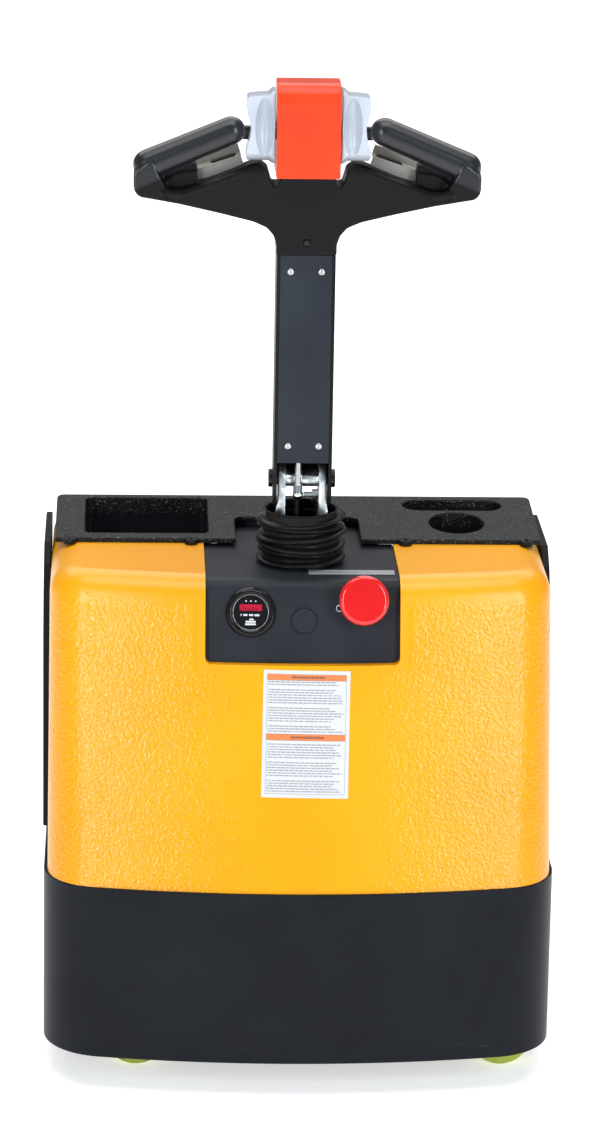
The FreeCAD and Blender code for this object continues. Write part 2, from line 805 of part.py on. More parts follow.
def fork():
    """Inverted channel with a tapered round nose; open below for the roller bracket."""
    inner = fork_centre - fork_width / 2
    outer = fork_centre + fork_width / 2
    bottom = fork_top - fork_depth
    nose = overall_length
    body = box(inner, outer, fork_root, nose, bottom, fork_top)
    body = rounded(body, 46, lambda e: runs_along(Z)(e) and e.BoundBox.YMin > nose - 1)
    ramp = [(nose - 150, fork_top + 1), (nose + 1, fork_top + 1), (nose + 1, fork_top - 30),
            (nose - 20, fork_top - 22)]
    ramp_cut = plate_x(ramp, inner - 5, outer + 5)
    wall = 5.0
    hollow = box(inner + wall, outer - wall, fork_root - 1, nose - 90, bottom - 1, fork_top - fork_skin)
    body = body.cut(ramp_cut).cut(hollow)
    pin = rod(inner - 1, roller_pivot_station, roller_pivot_height, X, fork_width + 2, 8 + running_gap)
    return body.cut(pin)


def crank(pivot_y, pivot_z, tilt, up):
    """Two small plates that flank a push rod's end, with the pin between them."""
    sign = 1 if up else -1
    pin_y = pivot_y - crank_radius * math.sin(tilt)
    pin_z = pivot_z + sign * crank_radius * math.cos(tilt)
    pieces = []
    for inner in (fork_centre - 9, fork_centre + 5):
        eye = rod(inner, pin_y, pin_z, X, 4, 6)
        side_y, side_z = 6 * math.cos(tilt), 6 * math.sin(tilt) * sign
        corners = [(pivot_y - side_y, pivot_z - side_z), (pivot_y + side_y, pivot_z + side_z),
                   (pin_y + side_y, pin_z + side_z), (pin_y - side_y, pin_z - side_z)]
        web = plate_x(corners, inner, inner + 4)
        pieces += [eye, web]
    pieces.append(rod(fork_centre - 9, pin_y, pin_z, X, 18, crank_pin_radius))
    return pieces


def lift_rocker():
    """Cross shaft with a link arm and a rod crank at each end."""
    shaft = rod(-253, rocker_station, rocker_height, X, 506, rocker_tube_radius)
    tip_y = rocker_station - link_arm * math.cos(half_swing)
    tip_z = link_pin_height
    up_y, up_z = 12 * math.sin(half_swing), 12 * math.cos(half_swing)
    arm = plate_x([(rocker_station - up_y, rocker_height - up_z), (tip_y - up_y, tip_z - up_z),
                   (tip_y + up_y, tip_z + up_z), (rocker_station + up_y, rocker_height + up_z)],
                  link_station_x - 5, link_station_x + 5)
    eye = rod(link_station_x - 5, tip_y, tip_z, X, 10, 12)
    pin = rod(link_station_x - 11, tip_y, tip_z, X, 22, link_pin_radius)
    side = join(arm, eye, pin)
    cranks = join(*crank(rocker_station, rocker_height, half_swing, False))
    return join(shaft, *pair(side), *pair(cranks))


def push_rod():
    """Rod inside the fork, flattened and slotted at both ends."""
    start = rocker_station - crank_radius * math.sin(half_swing)
    end = roller_pivot_station - crank_radius * math.sin(half_swing)
    shaft = rod(fork_centre, start + 16, rod_height, Y, end - start - 32, push_rod_radius)
    reach = crank_pin_radius + crank_slot_play
    parts = [shaft]
    slots = []
    for y in (start, end):
        parts.append(box(fork_centre - 4, fork_centre + 4, y - 10, y + 20 if y == start else y + 10,
                         rod_height - 9, rod_height + 8.5))
        slots.append(box(fork_centre - 5, fork_centre + 5, y - crank_pin_radius - 0.6,
                         y + crank_pin_radius + 0.6, rod_height - reach, rod_height + reach))
    parts.append(box(fork_centre - 4, fork_centre + 4, end - 20, end, rod_height - 9, rod_height + 8.5))
    body = join(*parts)
    for slot in slots:
        body = body.cut(slot)
    return body


def roller_bracket():
    """Two side plates on a trunnion, with the roller's axle holes at the far end."""
    y0, z0 = roller_pivot_station, roller_pivot_height
    y1, z1 = roller_station, load_roller_radius
    half = load_roller_width / 2 + 2
    plates = []
    for inner in (fork_centre - half - 6, fork_centre + half):
        web = plate_x([(y0, z0 - 13), (y1, z1 - 13), (y1, z1 + 13), (y0, z0 + 13)], inner, inner + 6)
        ends = [rod(inner, y, z, X, 6, 13) for y, z in ((y0, z0), (y1, z1))]
        hole = rod(inner - 1, y1, z1, X, 8, 9)
        plates.append(join(web, *ends).cut(hole))
    sleeve = rod(fork_centre - half, y0, z0, X, 2 * half, 12)
    trunnion = rod(fork_centre - fork_width / 2, y0, z0, X, fork_width, 8)
    return join(sleeve, trunnion, *plates, *crank(y0, z0, half_swing, True))


def roller_axle():
    half = load_roller_width / 2 + 8
    return rod(fork_centre - half, roller_station, load_roller_radius, X, 2 * half, 9)


def load_roller():
    half = load_roller_width / 2
    roller = pipe(fork_centre - half, roller_station, load_roller_radius, X, load_roller_width,
                  load_roller_radius, 9 + running_gap)
    return rounded(roller, 3, lambda e: e.BoundBox.ZMax > 2 * load_roller_radius - 1)


# ---- casters ------------------------------------------------------------------------------------
def caster_fork(side):
    """Swivel fork with its riveted axle, trailing to the right of its stem."""
    x = side * caster_station_x
    y = caster_station_y
    wheel_x = x + caster_trail
    stem = rod(x, y, 92, Z, caster_plate_height + caster_plate_thickness - 92, caster_stem_radius)
    race = rod(x, y, 92, Z, caster_plate_height - free_gap - 92, 24)
    crown = box(x - 24, wheel_x + 14, y - 22, y + 22, 84, 92)
    half = caster_width / 2 + 1.5
    legs = []
    for inner in (y - half - 4.5, y + half):
        outline = [(x - 24, 92), (wheel_x + 14, 92), (wheel_x + 14, 40), (wheel_x + 8, 26),
                   (wheel_x - 8, 26), (wheel_x - 14, 40)]
        legs.append(plate_y(outline, inner, inner + 4.5))
    axle = rod(wheel_x, y - half - 7, caster_radius, Y, 2 * half + 14, 6)
    return join(stem, race, crown, axle, *legs)


def caster_wheel(side):
    x = side * caster_station_x + caster_trail
    wheel = pipe(x, caster_station_y - caster_width / 2, caster_radius, Y, caster_width,
                 caster_radius, 6 + running_gap)
    return rounded(wheel, 3, lambda e: e.BoundBox.ZMax > 2 * caster_radius - 1)


# ---- tiller ---------------------------------------------------------------------------------------
def tiller_arm():
    """Folded steel channel, open at the front, with round cheeks below the pivot."""
    y, z = steer_station, pivot_height
    body = box(-arm_half, arm_half, arm_front, arm_back, z, arm_top)
    ends = rod(-arm_half, y, z, X, arm_width, arm_end_radius)
    ends = ends.common(box(-arm_half, arm_half, arm_front, arm_back, z - 50, z + 50))
    body = join(body, ends)
    inside = arm_half - arm_wall
    body = body.cut(box(-inside, inside, arm_front - 1, arm_back - arm_wall, z - 60, arm_top + 1))
    body = body.cut(box(-inside, inside, arm_back - arm_wall - 1, arm_back + 1, z - 60, z - 12))
    body = body.cut(rod(-arm_half - 1, y, z, X, arm_width + 2, pivot_bolt_radius + running_gap))
    pin = rod(-inside, y, z + spring_pin_rise, X, 2 * inside, spring_pin_radius)
    tab = box(-inside, inside, arm_front + 2.5, arm_front + 5, arm_top - 30, arm_top - 8)
    low, high = arm_cover_start + 8, arm_cover_start + 36
    foot_tab = box(-inside, inside, arm_front + 2.5, arm_front + 5, low, high)
    foot_tab = foot_tab.cut(box(-spring_bay, spring_bay, arm_front, arm_back, low - 1, high + 1))
    return join(body, pin, tab, foot_tab)


def arm_cover():
    inside = arm_half - arm_wall
    return box(-inside, inside, arm_front, arm_front + 2.5, arm_cover_start, arm_top)


screw_rows = (arm_cover_start + 21, arm_top - 20)
neck_screw_height = 1016.0


def arm_screws():
    """Four pan-head screws in the arm cover and one in the head's neck."""
    screws = []
    for z in screw_rows:
        head = rod(18.5, arm_front - 2, z, Y, 2, 4.2)
        head = rounded(head, 1.0, lambda e: e.BoundBox.YMax < arm_front - 1.9)
        head = head.cut(rod(18.5, arm_front - 2.1, z, Y, 1.2, 1.6))
        screws += pair(head)
    screws.append(rod(0, neck_front + 1.5, neck_screw_height, Y, 8, 3.6))
    return screws


neck_half = 36.0
neck_front = arm_front - 1.0
neck_back = arm_back + 1.0
wing_front = neck_front
wing_back = steer_station + 18.0
hub_half = 33.0
tie_front = steer_station + 11.0
tie_back = steer_station + 21.0
tie_top = 1148.0
hub_front = cap_front + 7.0
hub_back = cap_back - 7.0
hub_top = cap_top - cap_wall - cap_travel - 11.0
grip_outer_end = (head_half_width - grip_radius, 1099.0)
grip_inner_end = (91.0, 1147.0)


def wing_outline():
    """Right half of the head's lower edge, outer corner and upper edge."""
    lower = [(0, arm_top), (neck_half, arm_top), (neck_half, 1014), (40, 1025), (48, 1034), (64, 1041),
             (105, 1051), (150, 1061), (190, 1068)]
    corner = [(head_half_width - 14 + 14 * math.sin(a), 1082 - 14 * math.cos(a))
              for a in [math.radians(d) for d in (20, 45, 70, 90)]]
    upper = [(head_half_width, 1099), (186, 1112), (176, 1096), (166, 1078), (150, 1077), (106, 1091),
             (68, 1107), (56, 1109), (47, 1102), (42, 1084), (0, 1084)]
    return lower + corner + upper


def tiller_head():
    """Moulded head: neck, wings with the loops' outer corners, and the hub inside the red button."""
    right = plate_y(wing_outline(), wing_front, wing_back)
    right = right.cut(box(150, 230, wing_front - 1, wing_back + 1, 990, 1040))
    neck = soft_box(-neck_half, neck_half, neck_front, neck_back, arm_top, 1040, Z, 6)
    spigot_half = arm_half - arm_wall
    spigot = box(-spigot_half, spigot_half, arm_front + 5, arm_back - arm_wall, arm_top - 36, arm_top)
    spigot = spigot.cut(box(-12, 12, arm_front + 20, arm_back, arm_top - 37, arm_top + 1))
    hub = soft_box(-hub_half, hub_half, hub_front, hub_back, 1036, hub_top, Z, 8)
    tie = box(hub_half - 2, 88, tie_front, tie_back, tie_top - 16, tie_top)
    tab = box(82, 96, grip_station + 8, tie_back, tie_top - 14, tie_top)
    web = plate_y([(130, 1070), (130, 1098), (150, 1095), (162, 1090), (180, 1078), (180, 1070)],
                  grip_station + 4, wing_back)
    body = join(neck, spigot, hub, *pair(right), *pair(tie), *pair(tab), *pair(web))
    shaft = rod(-60, throttle_station, throttle_height, X, 120, throttle_shaft_radius + running_gap)
    screw = rod(0, neck_front - 1, neck_screw_height, Y, 12, 3.7)
    return body.cut(shaft).cut(screw)


def hand_grip():
    (x0, z0), (x1, z1) = grip_outer_end, grip_inner_end
    y = grip_station
    run = V(x1 - x0, 0, z1 - z0)
    bar = Part.makeCylinder(grip_radius, run.Length, V(x0, y, z0), run)
    return join(bar, ball(x0, y, z0, grip_radius), ball(x1, y, z1, grip_radius))


def in_loop(shape):
    """Moves a piece, built flat from its outer end, to its sloping place in the left-hand loop."""
    return moved(turned(shape, (0, 0, 0), Y, -button_slope), *loop_origin)


button_window = (20.0, 54.0, 6.0, 21.0)
button_gap = 2.0
plate_start = -24.0
plate_end = 58.5


def button_plate():
    """Angle plate behind the grip, with a window for its button."""
    x0, x1, y0, y1 = button_window
    top = box(plate_start, plate_end, 0, 26, 11, 13.5).cut(box(x0, x1, y0, y1, 10, 15))
    flange = box(0, plate_end, 0, 2.5, -6, 13.5)
    upstand = box(plate_start, plate_end, 23.5, 26, 11, 24)
    return in_loop(join(top, flange, upstand))


def button_body():
    """Button that fills its window, built flat."""
    x0, x1, y0, y1 = button_window
    body = box(x0 + button_gap, x1 - button_gap, y0 + button_gap / 2, y1 - button_gap / 2, 5, 15.5)
    return rounded(body, 1.5, lambda e: e.BoundBox.ZMin > 15.4)


def rocker_switch():
    """Lift and lower switch: the same button, on a pin under the angle plate."""
    x0, x1, y0, y1 = button_window
    pin = rod((x0 + x1) / 2, y0 - 2.5, 8.5, Y, y1 - y0 + 5, 2.0)
    return in_loop(join(button_body(), pin))


def push_button():
    return mirrored(in_loop(button_body()))


def reversing_button():
    """Red safety button: a hood over the hub, slotted for the throttle shaft."""
    outer = box(-cap_half_width, cap_half_width, cap_front, cap_back, cap_bottom, cap_top)
    outer = rounded(outer, cap_fold, lambda e: runs_along(X)(e) and e.BoundBox.ZMin > cap_top - 1)
    outer = rounded(outer, 2.2, lambda e: abs(abs(e.CenterOfMass.x) - cap_half_width) < 0.1)
    w = cap_wall
    inner = box(-cap_half_width + w, cap_half_width - w, cap_front + w, cap_back - w,
                cap_bottom - 5, cap_top - w)
    inner = rounded(inner, cap_fold - w, lambda e: runs_along(X)(e) and e.BoundBox.ZMin > cap_top - w - 1)
    reach = throttle_shaft_radius + 1.5
    slot_top = throttle_height + cap_travel
    slot = box(-60, 60, throttle_station - reach, throttle_station + reach, cap_bottom - 5, slot_top)
    end = rod(-60, throttle_station, slot_top, X, 120, reach)
    tie_slot = box(-60, 60, tie_front - 2, tie_back + 2, cap_bottom - 5, tie_top + cap_travel + 2)
    return outer.cut(inner).cut(slot).cut(end).cut(tie_slot)


def throttle_shaft():
    return rod(-46, throttle_station, throttle_height, X, 92, throttle_shaft_radius)


def throttle_paddle():
    """Right-hand thumb paddle: a thin flange, a waisted body and a thumb dish on each face."""
    y, z = throttle_station, throttle_height
    body = box(44, paddle_outer, y - 30, y + paddle_back, z - paddle_reach, z + paddle_reach)
    body = body.common(rod(40, y, z, X, 40, paddle_reach))
    body = body.cut(rod(paddle_outer + 34, y - 60, z - 2, Y, 120, 40))
    body = body.cut(ball(60, y - 62, z, 40))
    flange = rod(paddle_inner, y, z, X, 44 - paddle_inner, 47)
    flange = flange.common(box(30, 60, y - 24, y + paddle_back, z - 60, z + 60))
    return join(body, flange).cut(rod(30, y, z, X, 16, throttle_shaft_radius))


# ---- gas spring -----------------------------------------------------------------------------------
spring_top = (spring_ball[0], steer_station, pivot_height + spring_pin_rise)
spring_lean = math.degrees(math.atan2(spring_top[1] - spring_ball[1], spring_top[2] - spring_ball[2]))


def along_spring(shape):
    """Leans a piece, built upright under the spring's upper pin, towards the ball."""
    return moved(turned(shape, (0, 0, 0), X, -spring_lean), *spring_top)


def gas_cylinder():
    eye = pipe(-6, 0, 0, X, 12, 9, spring_pin_radius + running_gap)
    tube = pipe(0, 0, -160, Z, 152, spring_cylinder_radius, 6)
    gland = pipe(0, 0, -160, Z, 6, spring_cylinder_radius, spring_rod_radius + running_gap)
    return along_spring(join(eye, tube, gland))


def gas_rod():
    length = math.dist(spring_top, spring_ball)
    shaft = rod(0, 0, -length, Z, length - 90, spring_rod_radius)
    socket = rod(0, 0, -length, Z, 12, 5.5)
    return along_spring(join(shaft, socket, ball(0, 0, -length, 6.5)))


# ---- everything, one file for each node -----------------------------------------------------------
def main():
    os.makedirs("parts", exist_ok=True)
    save("bumper_skirt", bumper())
    save("drive_deck", deck())
    save("side_plates", *pair(side_plate()))
    save("rear_bulkhead", bulkhead())
    save("front_cover", front_cover())
    save("control_panel", control_panel())
    save("gauge_bezel", gauge_bezel())
    save("gauge_dial", gauge_dial())
    save("blank_plug", blank_plug())
    save("stop_base", stop_base())
    save("stop_button", stop_button())
    save("labels", *labels())
    save("storage_tray", storage_tray())
    save("tray_clips", *tray_clips())

    save("slewing_ring_outer", ring_outer())
    save("slewing_ring_inner", ring_inner())
    save("gearbox_housing", gearbox())
    save("drive_motor", drive_motor())
    save("motor_brake", motor_brake())
    save("steering_bracket", steering_bracket())
    save("tiller_clevis", tiller_clevis())
    save("pivot_bolts", *pivot_bolts())
    save("ball_stud", ball_stud())
    save("steering_boot", steering_boot())
    save("column_cable", column_cable())
    save("drive_tyre", drive_tyre())
    save("drive_hub", drive_hub())

    save("batteries", *pair(battery()))
    save("oil_tank", oil_tank())
    save("pump_motor", pump_motor())
    save("motor_controller", motor_controller())
    save("horn", horn())
    save("lift_barrel", lift_barrel())

    save("fork_carriage", carriage())
    save("lift_ram", lift_ram())
    save("forks", *pair(fork()))
    save("lift_rocker", lift_rocker())
    save("push_rods", *pair(push_rod()))
    save("roller_brackets", *pair(roller_bracket()))
    save("roller_axles", *pair(roller_axle()))
    save("load_roller_right", load_roller())
    save("load_roller_left", mirrored(load_roller()))
    for name, side in (("left", -1), ("right", 1)):
        save("caster_fork_" + name, caster_fork(side))
        save("caster_wheel_" + name, caster_wheel(side))

    head = tiller_head()
    save("tiller_arm", tiller_arm())
    save("arm_cover", arm_cover())
    save("arm_screws", *arm_screws())
    save("tiller_head", head)
    save("hand_grips", *[grip.cut(head) for grip in pair(hand_grip())])
    save("button_plates", *[plate.cut(head) for plate in pair(button_plate())])
    save("lift_lower_switch", rocker_switch())
    save("horn_button", push_button())
    save("reversing_button", reversing_button())
    save("throttle_shaft", throttle_shaft())
    save("throttle_paddles", *pair(throttle_paddle()))
    save("arm_cable", arm_cable())
    save("gas_cylinder", gas_cylinder())
    save("gas_rod", gas_rod())


main()
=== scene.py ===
# %% [markdown]
# # A walk-behind pallet truck
# The working parts come from the CAD frame: every plate, wheel, lever and fork already has its real
# size and its joint. This lesson gives them their looks. We first load the frame and keep its box,
# because nothing that we add may grow past it.

# %% Load the frame
import json
import math

import bmesh
import bpy
from mathutils import Matrix, Vector


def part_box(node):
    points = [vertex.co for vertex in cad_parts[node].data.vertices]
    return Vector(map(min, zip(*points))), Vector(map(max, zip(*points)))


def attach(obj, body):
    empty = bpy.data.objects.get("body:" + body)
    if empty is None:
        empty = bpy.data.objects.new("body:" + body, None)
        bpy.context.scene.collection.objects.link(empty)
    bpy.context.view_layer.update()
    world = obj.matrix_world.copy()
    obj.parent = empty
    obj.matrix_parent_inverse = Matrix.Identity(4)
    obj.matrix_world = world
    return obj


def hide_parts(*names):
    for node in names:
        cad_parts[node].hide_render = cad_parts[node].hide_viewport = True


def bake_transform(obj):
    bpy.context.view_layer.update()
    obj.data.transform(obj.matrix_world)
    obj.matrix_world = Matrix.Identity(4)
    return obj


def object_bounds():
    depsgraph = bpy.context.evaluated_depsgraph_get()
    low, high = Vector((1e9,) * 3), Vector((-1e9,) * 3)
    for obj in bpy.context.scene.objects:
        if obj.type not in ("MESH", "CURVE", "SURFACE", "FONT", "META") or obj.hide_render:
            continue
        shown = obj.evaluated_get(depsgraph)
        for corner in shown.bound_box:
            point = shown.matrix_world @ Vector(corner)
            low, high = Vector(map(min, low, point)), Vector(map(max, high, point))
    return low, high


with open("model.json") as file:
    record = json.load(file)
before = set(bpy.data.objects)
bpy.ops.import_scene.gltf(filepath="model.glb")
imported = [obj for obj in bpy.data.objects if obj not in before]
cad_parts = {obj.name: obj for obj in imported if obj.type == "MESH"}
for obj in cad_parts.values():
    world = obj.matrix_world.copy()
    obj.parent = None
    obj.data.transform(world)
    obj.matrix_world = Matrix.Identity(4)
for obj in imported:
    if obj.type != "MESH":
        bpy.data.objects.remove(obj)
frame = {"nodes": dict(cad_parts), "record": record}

cad_low, cad_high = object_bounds()
nodes = frame["nodes"]
print("loaded", len(nodes), "nodes, box", [round(v, 3) for v in cad_high - cad_low])

# %% [markdown]
# ## Places that several pieces share
# The body leans back from the bumper to the top, and the front is bowed. The gauge, the blank plug and
# the stop button all sit square to that leaning face, so one small function gives each of them its seat.

# %% Shared places
MM = 0.001
front_y = cad_low.y
steer_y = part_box("slewing_ring_inner")[0].lerp(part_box("slewing_ring_inner")[1], 0.5).y
bumper_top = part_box("bumper_skirt")[1].z
cover_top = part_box("front_cover")[1].z
BOW_RADIUS = 1.310
COVER_STEP = 0.0046
COVER_LEAN = 0.101
PANEL_INSET = 0.009
lean = math.atan(COVER_LEAN / (cover_top - bumper_top))


def panel_seat(x, z):
    """Matrix of a seat on the panel: local -Y points out of the panel, towards the operator."""
    rise = (z - bumper_top) / (cover_top - bumper_top)
    y = front_y + COVER_STEP + COVER_LEAN * rise + PANEL_INSET + x * x / 2 / BOW_RADIUS
    yaw = math.asin(x / (BOW_RADIUS - PANEL_INSET))
    return Matrix.Translation((x, y, z)) @ Matrix.Rotation(yaw, 4, "Z") @ Matrix.Rotation(-lean, 4, "X")


gauge_seat = panel_seat(-0.0625, 0.580)
stop_seat = panel_seat(0.0710, 0.5945)
print("panel leans back", round(math.degrees(lean), 1), "degrees")

# %% [markdown]
# ## Camera, floor and light
# The camera stands a little to the left of the middle and above, and looks slightly down, with a long
# lens so that upright edges stay nearly upright. The floor is plain and pale, and the light is soft: one
# wide lamp above, and two tall lamps at the sides, which draw the long highlights on the dark parts.

# %% Camera
CAMERA_PLACE = Vector((-0.2105, -5.615, 2.0316))
CAMERA_YAW, CAMERA_PITCH, CAMERA_ROLL = (math.radians(v) for v in (2.407, 15.94, 0.99))
LENS = 134.14
SENSOR_HEIGHT = 36.0

ahead = Vector((math.sin(CAMERA_YAW) * math.cos(CAMERA_PITCH), math.cos(CAMERA_YAW) * math.cos(CAMERA_PITCH),
                -math.sin(CAMERA_PITCH)))
level = Vector((math.cos(CAMERA_YAW), -math.sin(CAMERA_YAW), 0.0))
upward = level.cross(ahead)
right = level * math.cos(CAMERA_ROLL) + upward * math.sin(CAMERA_ROLL)
above = upward * math.cos(CAMERA_ROLL) - level * math.sin(CAMERA_ROLL)
turn = Matrix((right, above, -ahead)).transposed()

camera = bpy.data.objects.new("camera", bpy.data.cameras.new("camera"))
camera.data.sensor_fit = "VERTICAL"
camera.data.sensor_height = SENSOR_HEIGHT
camera.data.lens = LENS
camera.matrix_world = Matrix.Translation(CAMERA_PLACE) @ turn.to_4x4()
bpy.context.scene.collection.objects.link(camera)
bpy.context.scene.camera = camera
print("camera looks down", round(math.degrees(CAMERA_PITCH), 1), "degrees")

# %% Light and air
scene = bpy.context.scene
scene.view_settings.view_transform = "Standard"
scene.view_settings.look = "None"
world = bpy.data.worlds.new("studio")
scene.world = world
world.use_nodes = True
world.node_tree.nodes["Background"].inputs["Color"].default_value = (0.93, 0.96, 1.0, 1.0)
world.node_tree.nodes["Background"].inputs["Strength"].default_value = 0.20


def soft_lamp(name, place, target, width, height, watts, colour):
    """A soft rectangular lamp that faces its target."""
    lamp = bpy.data.lights.new(name, "AREA")
    lamp.shape = "RECTANGLE"
    lamp.size, lamp.size_y = width, height
    lamp.energy = watts
    lamp.color = colour
    holder = bpy.data.objects.new(name, lamp)
    facing = (Vector(target) - Vector(place)).to_track_quat("-Z", "Y")
    holder.matrix_world = Matrix.Translation(place) @ facing.to_matrix().to_4x4()
    scene.collection.objects.link(holder)
    return holder


COOL = (0.88, 0.94, 1.0)
soft_lamp("lamp_above", (0.0, -1.0, 3.2), (0.0, -0.4, 0.4), 2.6, 1.6, 40, (1.0, 1.0, 1.0))
soft_lamp("lamp_behind", (0.0, 4.5, 5.5), (0.0, 4.5, 0.0), 9.0, 7.0, 420, (1.0, 1.0, 1.0))
soft_lamp("lamp_left", (-2.1, -3.9, 1.7), (-0.2, -0.7, 0.5), 0.8, 2.2, 60, COOL)
soft_lamp("lamp_right", (2.2, -3.7, 1.7), (0.2, -0.7, 0.5), 0.8, 2.2, 60, COOL)

# %% [markdown]
# ## Shader maths as Python
# A material is a network of nodes, and a long network is hard to read. One small class wraps a socket and
# gives it Python's operators, so `1 - mask * 0.3` adds its own Math nodes. The same class works in a
# Geometry Nodes tree, because both kinds of tree share the Math node. Colours never go through it: a
# Math node would turn them grey, so they go through Mix nodes.

# %% The socket class
class Wire:
    """One output socket that takes part in Python expressions."""

    def __init__(self, net, socket):
        self.net, self.socket = net, socket

    def maths(self, operation, *others):
        node = self.net.tree.nodes.new("ShaderNodeMath")
        node.operation = operation
        for slot, value in zip(node.inputs, (self, *others)):
            self.net.feed(slot, value)
        return Wire(self.net, node.outputs[0])

    def __add__(self, other):
        return self.maths("ADD", other)

    def __mul__(self, other):
        return self.maths("MULTIPLY", other)

    def __sub__(self, other):
        return self.maths("SUBTRACT", other)

    def __rsub__(self, other):
        return self.maths("MULTIPLY_ADD", -1.0, other)

    def __truediv__(self, other):
        return self.maths("DIVIDE", other)

    def __pow__(self, other):
        return self.maths("POWER", other)

    def __neg__(self):
        return self.maths("MULTIPLY", -1.0)

    __radd__ = __add__
    __rmul__ = __mul__

    def over(self, edge):
        return self.maths("GREATER_THAN", edge)

    def under(self, edge):
        return self.maths("LESS_THAN", edge)

    def steps(self, low, high):
        """0 below low, 1 above high, and a smooth ramp between."""
        return self.net.add("ShaderNodeMapRange", {"interpolation_type": "SMOOTHSTEP"},
                            {"Value": self, "From Min": low, "From Max": high})


# %% The tree class
class Net:
    """A node tree, with one method that adds any node."""

    def __init__(self, tree):
        self.tree = tree

    def feed(self, slot, value):
        if isinstance(value, Wire):
            self.tree.links.new(value.socket, slot)
        elif slot.type == "RGBA" and len(value) == 3:
            slot.default_value = (*value, 1.0)
        else:
            slot.default_value = value

    def add(self, kind, settings=None, sockets=None, out=0):
        """Adds a node: settings first, then the values or links of its sockets."""
        node = self.tree.nodes.new(kind)
        for name, value in (settings or {}).items():
            if name == "stops":
                while len(node.color_ramp.elements) < len(value):
                    node.color_ramp.elements.new(1.0)
                for element, (place, colour) in zip(node.color_ramp.elements, value):
                    element.position = place
                    element.color = (*colour, 1.0)
            else:
                setattr(node, name, value)
        for name, value in (sockets or {}).items():
            slot = next(s for s in node.inputs if name in (s.identifier, s.name) and s.enabled)
            self.feed(slot, value)
        if isinstance(out, str):
            return Wire(self, next(s for s in node.outputs if out in (s.identifier, s.name) and s.enabled))
        return Wire(self, node.outputs[out])

    def split(self, vector):
        """The X, Y and Z of a vector."""
        node = self.tree.nodes.new("ShaderNodeSeparateXYZ")
        self.tree.links.new(vector.socket, node.inputs[0])
        return [Wire(self, s) for s in node.outputs]

    def vector(self, x, y, z):
        return self.add("ShaderNodeCombineXYZ", {}, {"X": x, "Y": y, "Z": z})


print("maths classes ready")

# %% [markdown]
# ## One finish, many finishes
# Every finish starts from the same few tools: grain of a chosen size in metres, cells, brushed lines, a
# mix of two colours, and a bump. Patterns read Object coordinates, which are real metres in this
# model, so a 3 mm pebble is 3 mm on every piece.

# %% The finish class
class Finish(Net):
    """A material with a Principled shader, and helpers for real-size patterns."""

    def __init__(self, name):
        self.material = bpy.data.materials.new(name)
        self.material.use_nodes = True
        super().__init__(self.material.node_tree)
        self.shader = self.tree.nodes["Principled BSDF"]
        self.place = self.add("ShaderNodeTexCoord", {}, {}, "Object")

    def at(self, shift=(0, 0, 0), stretch=(1, 1, 1)):
        return self.add("ShaderNodeMapping", {}, {"Vector": self.place, "Location": shift, "Scale": stretch})

    def grain(self, size, detail=2.0, rough=0.5, where=None, warp=0.0):
        """Noise whose lumps are about this size, from 0 to 1."""
        return self.add("ShaderNodeTexNoise", {}, {"Vector": where or self.place, "Scale": 0.5 / size,
                                                   "Detail": detail, "Roughness": rough, "Distortion": warp})

    def cells(self, size, feature="F1", out="Distance", where=None):
        return self.add("ShaderNodeTexVoronoi", {"feature": feature},
                        {"Vector": where or self.place, "Scale": 1 / size}, out)

    def brushed(self, size, along, length=60.0):
        """Fine lines that run along one axis."""
        stretch = [1.0, 1.0, 1.0]
        stretch["XYZ".index(along)] = 1 / length
        return self.grain(size, 3.0, 0.6, self.at(stretch=stretch))

    def tint(self, mask, first, second):
        return self.add("ShaderNodeMix", {"data_type": "RGBA"},
                        {"Factor_Float": mask, "A_Color": first, "B_Color": second}, "Result_Color")

    def bump(self, height, depth, strength=1.0):
        return self.add("ShaderNodeBump", {}, {"Height": height, "Distance": depth, "Strength": strength})

    def done(self, **sockets):
        names = {"colour": "Base Color", "rough": "Roughness", "metal": "Metallic", "coat": "Coat Weight",
                 "coat_rough": "Coat Roughness", "normal": "Normal", "glow": "Emission Color",
                 "glow_strength": "Emission Strength", "gloss": "Specular IOR Level", "sheen": "Sheen Weight",
                 "skin": "Subsurface Weight", "skin_reach": "Subsurface Radius", "skin_scale": "Subsurface Scale"}
        for name, value in sockets.items():
            self.feed(self.shader.inputs[names[name]], value)
        return self.material


def shade(colour, factor):
    return tuple(min(1.0, c * factor) for c in colour)


# %% [markdown]
# ## Paint, moulded plastic and rubber
# Most of the truck is one of three things: powder-coated steel, moulded plastic or rubber. Each has a
# slow change of tone, a fine grain that the light catches, and some wear where hands or feet reach.

# %% Plain coated and moulded finishes
def coated(name, colour, rough, size=0.0016, depth=0.00006, scuffs=0.0, low=None):
    """Powder coat: orange-peel grain, cloudy tone, and scuffs that gather towards the floor."""
    f = Finish(name)
    cloud = f.grain(0.05, 3.0)
    peel = f.grain(size, 2.0)
    tone = f.tint(cloud.steps(0.3, 0.7), shade(colour, 0.86), shade(colour, 1.14))
    roughness = rough + (cloud - 0.5) * 0.10 + (peel - 0.5) * 0.06
    if scuffs:
        lines = f.grain(0.0012, 2.0, 0.6, f.at(stretch=(0.05, 0.05, 1.0)))
        marks = lines.steps(0.62, 0.72) * f.grain(0.03, 2.0).steps(0.45, 0.65) * scuffs
        if low:
            x, y, z = f.split(f.place)
            marks = marks * (1 - z.steps(low, low + 0.10))
        tone = f.tint(marks, tone, shade(colour, 4.0))
        roughness = roughness + marks * 0.2
    return f.done(colour=tone, rough=roughness, gloss=0.10, normal=f.bump(peel, depth))


